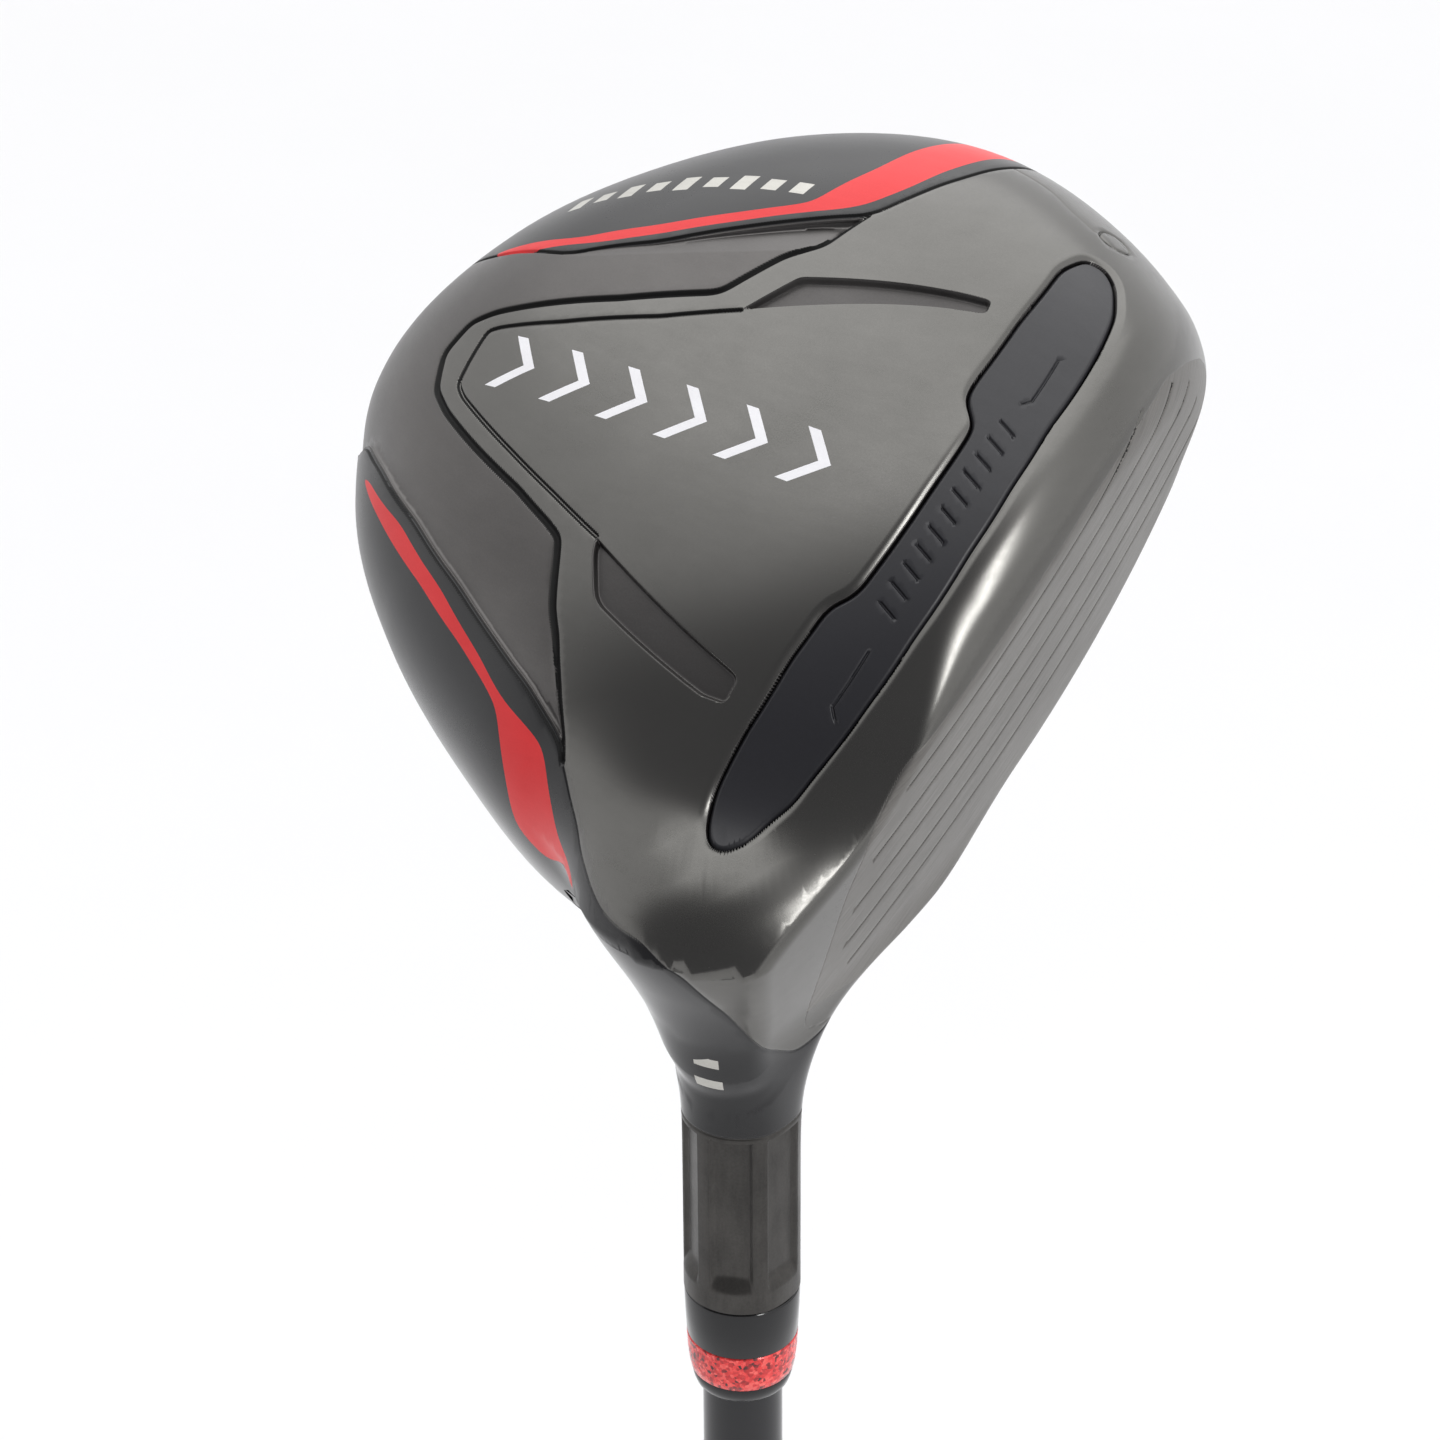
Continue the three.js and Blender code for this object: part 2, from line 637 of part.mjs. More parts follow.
place(head, 'head_body', geometryOf(headBody()), steel());
place(head, 'crown_panel', geometryOf(crownPanel()), carbon());
place(head, 'crown_bond', geometryOf(crownBond()), epoxy());
place(head, 'face_plate', geometryOf(facePlate()), faceSteel());
place(head, 'slot_filler', geometryOf(slotFiller()), fillerRubber());
place(head, 'toe_port_plug', geometryOf(toePortPlug()), blackPlastic());
place(head, 'toe_stripe', geometryOf(toeStripe()), redPaint());
place(head, 'heel_stripe', geometryOf(heelStripe()), redPaint());
place(head, 'sole_chevrons', geometryOf(soleChevrons()), whitePaint());
place(club, 'ferrule_collar', ferruleCollar(), blackPlastic());
place(club, 'ferrule_ring', ferruleRing(), redPaint());
place(club, 'ferrule_cap', ferruleCap(), blackPlastic());
place(club, 'shaft', shaftTube(), blackPlastic());
place(club, 'shaft_bond', shaftBond(), epoxy());
place(club, 'shaft_band', shaftBand(), whitePaint());
place(club, 'grip_tape', gripTape(), tape());
place(club, 'grip_sleeve', gripSleeve(), rubber());
place(club, 'grip_cap', gripCap(), rubber());

export default club;
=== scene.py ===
import math
import bmesh
import bpy
import numpy as np
from mathutils import Matrix, Vector
from mathutils.geometry import delaunay_2d_cdt


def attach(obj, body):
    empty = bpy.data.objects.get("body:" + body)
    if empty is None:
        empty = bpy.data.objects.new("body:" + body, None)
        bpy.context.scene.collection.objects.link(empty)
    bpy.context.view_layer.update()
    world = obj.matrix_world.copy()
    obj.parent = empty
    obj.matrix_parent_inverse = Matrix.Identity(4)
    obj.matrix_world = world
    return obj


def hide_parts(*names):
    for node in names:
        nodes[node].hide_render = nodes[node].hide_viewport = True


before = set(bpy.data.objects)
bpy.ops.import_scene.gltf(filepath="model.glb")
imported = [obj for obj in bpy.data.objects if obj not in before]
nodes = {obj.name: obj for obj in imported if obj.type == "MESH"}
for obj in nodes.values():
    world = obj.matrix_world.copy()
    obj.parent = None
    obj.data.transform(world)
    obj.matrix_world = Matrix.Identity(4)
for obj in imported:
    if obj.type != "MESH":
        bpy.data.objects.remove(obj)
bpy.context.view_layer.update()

# ---- the head as a solid, worked out in millimetres as it sits at address: x to the toe, y to the target, z up

headForm = dict(
    lie=math.radians(58.5), loft=math.radians(15), clubLength=1098.5, axisX=-29.3, axisY=-18.4,
    middle=(2.0, -44.0), reach=[51.8, 51, 51.2, 53, 56, 57.2, 56, 51.8, 46.4, 43, 44, 48.3, 52.5, 51.8, 50.3, 50.8],
    belt=27.5, beltRise=0.09, soleCurve=(190.0, 330.0), crownTop=45.0, crownFall=0.0022, crownRoll=0.0012,
    neckRadius=6.25, neckFlare=10.5, neckTop=47.5, neckBlend=10.0, faceBulge=335.0, faceRoll=320.0,
)
lieCos, lieSin = math.cos(headForm["lie"]), math.sin(headForm["lie"])
axisWay = np.array([-lieCos, 0, lieSin])  # up the hosel
axisFoot = np.array([headForm["axisX"], headForm["axisY"], 0])


def loopSpline(values, angle):  # a smooth closed curve through values that are evenly spaced in angle
    v = np.asarray(values, float)
    u = (angle / (2 * np.pi)) % 1 * len(v)
    i = np.floor(u).astype(int) % len(v)
    t = u - np.floor(u)
    a, b, c, d = v[i - 1], v[i], v[(i + 1) % len(v)], v[(i + 2) % len(v)]
    return 0.5 * (2 * b + (c - a) * t + (2 * a - 5 * b + 4 * c - d) * t ** 2 + (3 * b - a - 3 * c + d) * t ** 3)


def softMax(a, b, k):  # the larger of two, rounded over k where they meet
    return np.maximum(a, b) + np.maximum(k - np.abs(a - b), 0) ** 2 / (4 * k)


def easeStep(t):  # 0 to 1 with level ends
    t = np.clip(t, 0, 1)
    return t * t * (3 - 2 * t)


def soleHeight(x, y):  # the sole's camber: x squared and y squared over twice their radii
    rx, ry = headForm["soleCurve"]
    return x * x / (2 * rx) + (y + 42) ** 2 / (2 * ry)


def pebble(x, y, z):  # reach over outline to a power, plus height over crown or sole to a power, less 1
    f = headForm
    dx, dy = x - f["middle"][0], y - f["middle"][1]
    rho = np.hypot(dx, dy) / loopSpline(f["reach"], np.arctan2(dy, dx))
    belt = f["belt"] + f["beltRise"] * (y + 45)
    top = f["crownTop"] - f["crownFall"] * (y + 22) ** 2 * np.where(y < -22, 1, 0.5) - f["crownRoll"] * x * x
    side = rho ** (4.7 - 2.1 * easeStep((z - belt + 5) / 10))
    below = (np.maximum(belt - z, 0) / np.maximum(belt - soleHeight(x, y), 4)) ** 2.5
    above = (np.maximum(z - belt, 0) / np.maximum(top - belt, 4)) ** 1.9
    return side + np.where(z < belt, below, above) - 1


def faceDepth(x, z):  # where the face lies: the loft's slope with bulge and roll
    f = headForm
    return -z * math.tan(f["loft"]) - x * x / (2 * f["faceBulge"]) - (z - 16) ** 2 / (2 * f["faceRoll"])


def headParts(p):  # pebble joined to neck, the face's cut, how round their edge is, and the face's distance from the neck's flat
    f = headForm
    x, y, z = p[..., 0], p[..., 1], p[..., 2]
    e = 0.05
    g = pebble(x, y, z)
    ways = (1, 0, 0), (0, 1, 0), (0, 0, 1)
    slope = np.sqrt(sum(((pebble(x + e * i, y + e * j, z + e * k) - g) / e) ** 2 for i, j, k in ways))
    body = g / np.maximum(slope, 0.012)
    rel = p - axisFoot
    along = rel @ axisWay
    away = np.sqrt(np.maximum((rel ** 2).sum(-1) - along ** 2, 1e-9))
    neckSize = f["neckRadius"] + f["neckFlare"] * np.clip((f["neckTop"] - along) / 26, 0, 1) ** 2
    neck = softMax(away - neckSize, 14 - along, 14)
    whole = -softMax(-body, -neck, f["neckBlend"])
    face, flat = faceDepth(x, z), f["axisY"] + f["neckRadius"] + 0.1
    ease = easeStep((x + 25) / 18)
    return whole, (y - softMax(face, flat, 1.2)) * math.cos(f["loft"]), 1.0 + 5.0 * ease, face - flat


def headField(p):  # below zero inside
    whole, cut, rounding, gap = headParts(p)
    return softMax(whole, cut, rounding)


def nearFold(p):  # true where the skin turns too fast for the usual grid
    whole, cut, rounding, gap = headParts(p)
    return (np.abs(whole - cut) < 1.25 * rounding) | ((np.abs(gap) < 1.8) & (cut > whole - 0.6))


def fieldNormal(p, e=0.05):
    steps = np.eye(3) * e
    n = np.stack([headField(p + s) - headField(p - s) for s in steps], -1)
    return n / np.linalg.norm(n, axis=-1, keepdims=True)


def toPart(p):  # from address millimetres to the part's metres
    x, y, z = p[..., 0] - headForm["axisX"], p[..., 1] - headForm["axisY"], p[..., 2]
    return np.stack([y, x * lieSin + z * lieCos, headForm["clubLength"] + x * lieCos - z * lieSin], -1) * 0.001


def turnToPart(n):
    return np.stack([n[..., 1], n[..., 0] * lieSin + n[..., 2] * lieCos, n[..., 0] * lieCos - n[..., 2] * lieSin], -1)


# ---- flat charts of the skin: a point's way from a centre inside the head, as an angle from a pole and a turn round it

def chartFor(centre, pole, side, flat, knee, spread, reach):
    return dict(centre=np.array(centre, float), pole=np.array(pole, float), side=np.array(side, float),
                cross=np.cross(pole, side), flat=flat, knee=knee, spread=spread, reach=reach)


soleChart = chartFor((0, -42, 18), (0, 0, -1), (1, 0, 0), flat=17.0, knee=1.22, spread=45.0, reach=96.0)
neckChart = chartFor(axisFoot + axisWay * 33, axisWay, (0, 1, 0), flat=14.0, knee=0.001, spread=14.0, reach=24.0)


def toChart(chart, p):  # radius on the chart: flat x tan(angle) up to the knee, then spread x angle
    d = p - chart["centre"]
    d = d / np.linalg.norm(d, axis=-1, keepdims=True)
    a, b, c = d @ chart["side"], d @ chart["cross"], d @ chart["pole"]
    angle = np.arccos(np.clip(c, -1, 1))
    kneeAt = chart["flat"] * math.tan(chart["knee"])
    radius = np.where(angle < chart["knee"], chart["flat"] * np.tan(np.minimum(angle, chart["knee"])),
                      kneeAt + chart["spread"] * (angle - chart["knee"]))
    across = np.maximum(np.hypot(a, b), 1e-9)
    return np.stack([a / across * radius, b / across * radius], -1)


def halve(pointAt, inner, outer, rounds=22):  # closes in on the skin between a distance inside the head and one outside
    for _ in range(rounds):
        mid = (inner + outer) / 2
        out = headField(pointAt(mid)) > 0
        inner, outer = np.where(out, inner, mid), np.where(out, mid, outer)
    return inner, outer


def castOut(chart, uv):  # the skin in a chart direction
    radius = np.hypot(uv[:, 0], uv[:, 1])
    kneeAt = chart["flat"] * math.tan(chart["knee"])
    angle = np.where(radius < kneeAt, np.arctan(radius / chart["flat"]), chart["knee"] + (radius - kneeAt) / chart["spread"])
    flatWay = uv / np.maximum(radius, 1e-9)[:, None]
    way = (np.cos(angle)[:, None] * chart["pole"] + (np.sin(angle) * flatWay[:, 0])[:, None] * chart["side"]
           + (np.sin(angle) * flatWay[:, 1])[:, None] * chart["cross"])
    near, far = halve(lambda t: chart["centre"] + way * t[:, None], np.full(len(uv), 1.0), np.full(len(uv), chart["reach"]), 20)
    return chart["centre"] + way * ((near + far) / 2)[:, None]


def between(points, step, closed=False):  # extra points along straight runs, no further apart than step
    p = np.asarray(points, float)
    if closed:
        p = np.vstack([p, p[:1]])
    runs = [np.linspace(a, b, max(2, int(np.ceil(np.linalg.norm(b - a) / step)) + 1))[:-1] for a, b in zip(p[:-1], p[1:])]
    return np.vstack(runs + ([] if closed else [p[-1:]]))


def soften(points, passes=2, closed=False):  # cuts each corner at a quarter of its runs
    p = np.asarray(points, float)
    for _ in range(passes):
        q = np.vstack([p, p[:1]]) if closed else p
        cut = np.stack([q[:-1] * 0.75 + q[1:] * 0.25, q[:-1] * 0.25 + q[1:] * 0.75], 1).reshape(-1, p.shape[1])
        p = cut if closed else np.vstack([p[:1], cut, p[-1:]])
    return p


def withHeight(points):  # plan points are lifted on to the sole; points that already have a height keep it
    p = np.array([tuple(q) if len(q) > 2 else (q[0], q[1], 0.0) for q in points], float)
    flat = np.array([len(q) < 3 for q in points])
    _, under = halve(lambda z: np.column_stack([p[:, :2], z]), np.full(len(p), 19.0), np.full(len(p), -12.0), 20)
    p[flat, 2] = under[flat]
    return p


def roundCorners(points, size, closed):  # each corner becomes a short curve that starts at this distance from it
    p = np.asarray(points, float)
    back, ahead = np.roll(p, 1, 0) - p, np.roll(p, -1, 0) - p
    backSize, aheadSize = (np.linalg.norm(v, axis=1)[:, None] for v in (back, ahead))
    a = p + back * np.minimum(size / np.maximum(backSize, 1e-6), 0.45)
    b = p + ahead * np.minimum(size / np.maximum(aheadSize, 1e-6), 0.45)
    curve = np.stack([a, a * 0.5625 + p * 0.375 + b * 0.0625, a * 0.25 + p * 0.5 + b * 0.25, a * 0.0625 + p * 0.375 + b * 0.5625, b], 1)
    if closed:
        return curve.reshape(-1, 3)
    return np.vstack([p[:1], curve[1:-1].reshape(-1, 3), p[-1:]])


def skinPath(points, closed=False, corner=0.0, step=1.6, chart=soleChart):
    p = withHeight(points)
    if corner:
        p = roundCorners(p, corner, closed)
    return castOut(chart, toChart(chart, between(p, step, closed)))


def pathDistance(p, path, closed=False, limit=6.0):  # straight-line distance to the nearest run of a path
    a = path
    b = np.roll(path, -1, 0)
    if not closed:
        a, b = a[:-1], b[:-1]
    far = np.full(len(p), limit)
    near = np.flatnonzero(((p > path.min(0) - limit) & (p < path.max(0) + limit)).all(-1))
    ab = b - a
    size = np.maximum((ab ** 2).sum(-1), 1e-9)
    for part in np.array_split(near, max(1, len(near) * len(a) // 2000000)):
        rel = p[part][:, None] - a
        t = np.clip((rel * ab).sum(-1) / size, 0, 1)
        far[part] = np.minimum(limit, np.sqrt(((rel - t[..., None] * ab) ** 2).sum(-1).min(-1)))
    return far


def insideLoop(uv, loop):  # counts how many sides of the loop lie across a ray from each point
    hit = np.zeros(len(uv), bool)
    near = np.flatnonzero(((uv >= loop.min(0)) & (uv <= loop.max(0))).all(-1))
    a, b = loop, np.roll(loop, -1, 0)
    for part in np.array_split(near, max(1, len(near) * len(a) // 4000000)):
        x, y = uv[part, 0][:, None], uv[part, 1][:, None]
        cross = (a[:, 1] > y) != (b[:, 1] > y)
        reach = a[:, 0] + (y - a[:, 1]) * (b[:, 0] - a[:, 0]) / np.where(b[:, 1] == a[:, 1], 1e-9, b[:, 1] - a[:, 1])
        hit[part] = (cross & (x < reach)).sum(-1) % 2 == 1
    return hit


# ---- lines, hollows and colours on the skin

headLines = dict(
    skirtToe=[(14, -88.5, 11), (14.5, -85.7, 7.5), (15.4, -79), (15.6, -73.1), (20, -62.7), (24.6, -54.8), (27.8, -48.9), (31.4, -41.8),
              (36.4, -39.7), (42.2, -37.7, 8.1), (47.8, -36.8, 13), (51.6, -37.2, 19), (53, -38, 25)],
    skirtHeel=[(-11.0, -88.5, 13), (-11.1, -86.7, 9.9), (-14.6, -80.7), (-19.7, -71.4), (-25.2, -61), (-29.8, -52.4),
               (-32.8, -46.2), (-36.3, -40.4), (-37.9, -39.2, 8.4)],
    neckEdge=[(-37.9, -39.2, 8.4), (-41, -36.7, 10), (-45.5, -32.7, 10.9), (-50, -27, 9.8), (-52.4, -19.3, 9), (-53.6, -14.3, 10.8),
              (-52.9, -12.1, 18.3), (-50.1, -12, 30.2), (-49.0, -12.0, 33), (-47.4, -12.1, 34.2), (-43, -12.3, 36.2), (-38.5, -12.4, 38.6)],
    topEdge=[(-38.5, -12.4, 38.6), (-30, -13, 41), (-15, -12.4, 42.6), (0, -12.4, 42.8), (14, -13.3, 42.4), (28, -15.5, 40.6),
             (38, -18, 37), (45.5, -21, 33), (50, -26, 29), (52, -32, 27), (53, -38, 25)],
    rearEdge=[(-11.0, -88.5, 13), (-10, -92, 19), (0, -95, 20), (10, -92, 18), (14, -88.5, 11)],
    outerV=[(31.2, -42.3), (25.5, -43.9), (22.4, -47.1), (16, -50.7), (15.2, -51.8), (11.3, -61.9), (7.5, -72.7), (5.9, -76.5),
            (4.1, -79), (-0.5, -79.9), (-5.1, -77.6), (-7.5, -74.1), (-11.2, -66.1), (-13.9, -58.9), (-16.6, -52.6), (-17.7, -50.5),
            (-20, -49.3), (-24.9, -46.9), (-27.4, -45), (-31.3, -42.7), (-36.2, -39.9), (-37.9, -39.2, 8.4)],
    innerV=[(14.1, -47.1), (10.4, -55.6), (6.4, -66.9), (4, -74.3), (3.3, -75.6), (-0.8, -75.3), (-4, -74.8), (-5.3, -73.1),
            (-9.9, -62.8), (-13.2, -54.3), (-16.2, -46.2)],
    toePocket=[(14.1, -47.1), (20.4, -43.5), (25.8, -22.7), (23.8, -22.2)],
    heelPocket=[(-16.2, -46.2), (-18, -45.6), (-22.3, -42.8), (-23.1, -41.7), (-27.7, -26), (-27.5, -23.2), (-24.8, -22.9), (-24.2, -23.7)],
    ridge=[(14.5, -85.7, 7.5), (15.0, -78), (15.4, -71.1), (18.3, -61.4), (21.3, -52.3), (24.0, -45.4)],
    toeCrease=[(47.8, -36.8, 13), (46.6, -30.9, 13.5), (44.6, -27.3, 12.8), (43, -23.2, 13.1)],
    slot=[(34.5, -20.7), (38, -20.3, 10), (38.3, -18, 11.3), (36.6, -15.8, 11.3), (32.2, -12.7), (23.2, -9.7), (14.3, -8.6),
          (6, -7.9), (-2.8, -7.7), (-13.6, -8.3), (-21.7, -9.5), (-27, -10.8), (-33.2, -12.5), (-38.2, -14.3), (-40.6, -16), (-40.8, -18),
          (-39.2, -19.6), (-35.2, -20.8), (-29, -20.3), (-20.7, -19.1), (-14.3, -18.1), (-11.8, -16.1), (-5.4, -15.4), (2, -15.2), (9.2, -15.3),
          (10.7, -15.7), (12.9, -17.9), (15.2, -18.4), (25, -19.2)],
    toeStripe=[(14.7, -83.5, 6.4), (14.9, -80.1), (18, -70.2), (21, -63.5), (25.5, -55.4), (28.8, -49.6), (31.1, -45.3), (33.1, -43.1), (37.4, -41),
               (44.4, -39.6, 9.5), (51.3, -39.4, 17), (53.5, -40, 25), (53.3, -46, 25), (51.2, -45.2, 15.8), (47.1, -45.6, 11.4),
               (39, -46.6), (34.8, -48.2), (31.2, -49.3), (29.8, -50.9), (26.7, -56.4), (22.3, -64.5), (18.2, -73.4),
               (15.0, -85.6, 7.4)],
    heelStripe=[(-15, -84.2, 10), (-19.8, -77.4, 8.3), (-25.7, -66.7), (-30.5, -57.7), (-33.4, -52.6), (-35.2, -50, 8.4),
                (-37.6, -48.7, 10.4), (-40.3, -47.5, 13.5), (-42.8, -46.7, 18.8), (-44.2, -42.3, 20.5), (-49.2, -31.8, 12.9),
                (-44.1, -38, 14), (-41.2, -40, 11.7), (-37.6, -42, 8.8), (-36.3, -44.2, 8.1), (-34.1, -49.8), (-31.2, -54.2),
                (-25.8, -63.2), (-20.2, -73.2), (-15.7, -82.1, 8.8)],
    crownEdge=[(42, -27), (48, -44), (44, -61), (33.5, -75.5), (19.5, -86.5), (2, -90.5), (-13.5, -83), (-24.5, -71), (-32, -58),
               (-36.5, -45), (-35, -34), (-27, -26), (-10, -21), (10, -19), (29, -20)],
    faceEdge=[(-25, 8.9), (-10, 9.3), (0, 9.3), (10, 9.8), (22, 12), (30.7, 14.9), (35.9, 19.5), (40.3, 25), (42.3, 30), (40.5, 34.5), (35, 37.3),
              (26, 39), (0, 40.4), (-20, 40), (-34, 38), (-42, 35.6), (-46.3, 31.9), (-42.6, 25.7), (-37.3, 17), (-31.4, 11.6)],
    scoreLines=[(11.9, -25.4, 24), (16.6, -32, 30.8), (21.4, -35.9, 33.7), (26.2, -37.8, 34.4), (30.6, -38.1, 34.2)],
    port=(43.5, -21.4, 14.9), portRadius=1.95,
)
neckRing = dict(angle=82, rearMore=18, rearAt=190, rearOver=35, heelLess=20, heelAt=100, heelOver=40)  # the neck chart's rim, in degrees
hoselStart, hoselTop = 46.0, 70.0
turns = 192


def crownLoop(count=420):  # the crown's edge on the upper skin
    p = soften(np.array(headLines["crownEdge"], float), 3, True)
    p = np.vstack([p, p[:1]])
    run = np.concatenate([[0], np.cumsum(np.linalg.norm(np.diff(p, axis=0), axis=1))])
    at = np.linspace(0, run[-1], count, endpoint=False)
    return onCrown(np.stack([np.interp(at, run, p[:, 0]), np.interp(at, run, p[:, 1])], -1))


def onCrown(plan):
    top, _ = halve(lambda z: np.column_stack([plan, z]), np.full(len(plan), 24.0), np.full(len(plan), 60.0))
    return np.column_stack([plan, top])


def facePoints(pairs):
    return [(x, float(faceDepth(x, z)), z) for x, z in pairs]


def ringPoints(radius, count=turns):
    a = np.arange(count) * 2 * np.pi / count
    return np.stack([np.cos(a), np.sin(a)], -1) * radius


def neckRingPoints(share=1.0):  # a ring on the neck's chart: wider behind the neck, narrower on its heel side
    f, a = neckRing, np.arange(turns) * 360 / turns
    angle = f["angle"] + f["rearMore"] * np.exp(-((a - f["rearAt"]) / f["rearOver"]) ** 2) \
                       - f["heelLess"] * np.exp(-((a - f["heelAt"]) / f["heelOver"]) ** 2)
    return ringPoints(1.0) * (np.radians(angle) * neckChart["spread"] * share)[:, None]


print("head: settling lines on the skin")
paths = {}
for name, corner in dict(skirtToe=2, skirtHeel=2, neckEdge=1.5, topEdge=2, rearEdge=2, outerV=1.0, ridge=3, toeCrease=2, innerV=0.8).items():
    paths[name] = skinPath(headLines[name], corner=corner)
for name, corner in dict(toePocket=0.7, heelPocket=0.7, slot=1.6, toeStripe=2.5, heelStripe=2.0).items():
    paths[name] = skinPath(headLines[name], closed=True, corner=corner)
paths["faceEdge"] = skinPath(facePoints(headLines["faceEdge"]), closed=True, corner=2.0)
paths["crownEdge"] = crownLoop()
port = castOut(soleChart, toChart(soleChart, np.array([headLines["port"]], float)))
portOut = fieldNormal(port)[0]
portSide = np.cross(portOut, [0, 0, 1.0])
portSide /= np.linalg.norm(portSide)
portUp = np.cross(portOut, portSide)
portTurn = np.linspace(0, 2 * np.pi, 48, endpoint=False)[:, None]
paths["port"] = skinPath(port[0] + headLines["portRadius"] * (np.cos(portTurn) * portSide + np.sin(portTurn) * portUp), closed=True, step=0.4)
for i, (z, x0, x1) in enumerate(headLines["scoreLines"]):
    paths["score%d" % i] = skinPath(facePoints([(x, z) for x in np.linspace(x0, x1, 12)]))
steelLoop = np.vstack([paths["skirtToe"], paths["topEdge"][::-1], paths["neckEdge"][::-1], paths["skirtHeel"][::-1], paths["rearEdge"]])
cut = np.argmin(np.linalg.norm(paths["skirtToe"] - paths["outerV"][0], axis=1))
rearLoop = toChart(soleChart, np.vstack([paths["outerV"], paths["skirtHeel"][::-1], paths["rearEdge"], paths["skirtToe"][:cut + 1]]))

grooves = dict(  # half width and depth of each cut line
    outerV=(0.58, 0.5), innerV=(0.4, 0.38), skirtToe=(0.36, 0.36), skirtHeel=(0.42, 0.42), neckEdge=(0.2, 0.12), toeCrease=(0.25, 0.1),
    port=(0.24, 0.34), faceEdge=(0.14, 0.04), score0=(0.3, 0.2), score1=(0.3, 0.2), score2=(0.3, 0.2), score3=(0.3, 0.2), score4=(0.3, 0.2),
)
hollows = dict(toePocket=(0.4, 0.75), heelPocket=(0.4, 0.75), slot=(0.3, 2.6))  # wall width and depth
closedPaths = {"toePocket", "heelPocket", "slot", "toeStripe", "heelStripe", "port", "faceEdge", "crownEdge"}
loops = {name: toChart(soleChart, paths[name]) for name in closedPaths}
wedgeLoop = toChart(soleChart, np.vstack([paths["ridge"], paths["outerV"][:4][::-1], paths["skirtToe"][:cut + 1][::-1]]))
facets = dict(toeSlope=0.2, toeDeep=1.0, heelReach=9.0, heelDeep=0.9)


def skinDepth(p):  # how far the skin is cut below the plain head: lines, hollows, and the facets beside the skirts
    depth = np.zeros(len(p))
    uv = toChart(soleChart, p)
    for name, (half, deep) in grooves.items():
        s = pathDistance(p, paths[name], name in closedPaths, 1.0)
        depth = np.maximum(depth, deep * (1 - easeStep(s / half)))
    for name, (wall, deep) in hollows.items():
        s = pathDistance(p, paths[name], True, 1.6) * np.where(insideLoop(uv, loops[name]), 1, -1)
        depth = np.maximum(depth, deep * easeStep(s / wall))
        if name == "slot":
            depth = np.maximum(depth, 0.3 * np.clip((s + 0.9) / 0.9, 0, 1) ** 2)
    fromGroove = easeStep(pathDistance(p, paths["outerV"], False, 1.0) / 0.6)
    s = pathDistance(p, paths["ridge"], False, 6.0) * insideLoop(uv, wedgeLoop)
    toe = np.minimum(s * facets["toeSlope"], facets["toeDeep"]) * easeStep(pathDistance(p, paths["skirtToe"], False, 1.0) / 0.4)
    s = pathDistance(p, paths["skirtHeel"], False, facets["heelReach"])
    heel = facets["heelDeep"] * (1 - s / facets["heelReach"]) ** 2 * easeStep(s / 0.5) * insideLoop(uv, rearLoop)
    depth = np.maximum(depth, np.maximum(toe, heel) * fromGroove)
    s = pathDistance(p, paths["crownEdge"], True, 1.0)
    return np.maximum(depth, 0.28 * (1 - easeStep(s / 0.35)))


def alongPath(path, closed, offsets, step=0.36):  # rows of points beside a path, on the skin
    p = between(path, step, closed)
    ahead = np.roll(p, -1, 0) - np.roll(p, 1, 0)
    if not closed:
        ahead[0], ahead[-1] = p[1] - p[0], p[-1] - p[-2]
    side = np.cross(ahead, fieldNormal(p))
    side /= np.linalg.norm(side, axis=-1, keepdims=True)
    return np.vstack([p + side * s for s in offsets])


def hexGrid(reach, step):
    rows = np.arange(-reach, reach, step * math.sqrt(3) / 2)
    cols = np.arange(-reach, reach, step)
    x, y = np.meshgrid(cols, rows)
    x = x + (np.arange(len(rows)) % 2 * step / 2)[:, None]
    return np.stack([x.ravel(), y.ravel()], -1)


def triangles(uv):  # joins chart points into triangles
    made = delaunay_2d_cdt([Vector(q) for q in uv.tolist()], [], [], 0, 1e-3)
    return np.array([v[:] for v in made[0]]), np.array(made[2], int)


def refined(chart, grid, reach, step, cell=1.6):  # swaps the grid for a finer one near the folds
    def cellOf(uv):
        return np.floor(uv[:, 0] / cell).astype(int) * 1000 + np.floor(uv[:, 1] / cell).astype(int)

    marked = np.unique(cellOf(grid[nearFold(castOut(chart, grid))]))
    fine = hexGrid(reach, step)
    return np.vstack([grid[~np.isin(cellOf(grid), marked)], fine[np.isin(cellOf(fine), marked)]])


print("head: body skin")
linePoints = []
for name, (half, deep) in grooves.items():
    rows = [0, half * 0.33, -half * 0.33, half * 0.66, -half * 0.66, half, -half] if deep > 0.15 else [0, half, -half, half / 2, -half / 2]
    linePoints.append(alongPath(paths[name], name in closedPaths, rows))
for name, (wall, deep) in hollows.items():
    rows = [0, wall * 0.25, wall * 0.5, wall * 0.75, wall, -0.15, wall + 0.2]
    rows = rows + [-s for s in rows if s > 0.01] + ([0.45, 0.7, 0.95, -0.45, -0.7, -0.95] if name == "slot" else [])
    linePoints.append(alongPath(paths[name], True, rows))
for name in ("topEdge", "rearEdge", "toeStripe", "heelStripe"):
    linePoints.append(alongPath(paths[name], name in closedPaths, [0]))
linePoints.append(alongPath(paths["ridge"], False, [0, 0.2, -0.2]))
linePoints.append(alongPath(paths["faceEdge"], True, [0.3, -0.3, 0.5, -0.5, 0.75, -0.75, 1.0, -1.0]))
linePoints.append(alongPath(paths["crownEdge"], True, [0, 0.12, -0.12, 0.24, -0.24, 0.36, -0.36]))

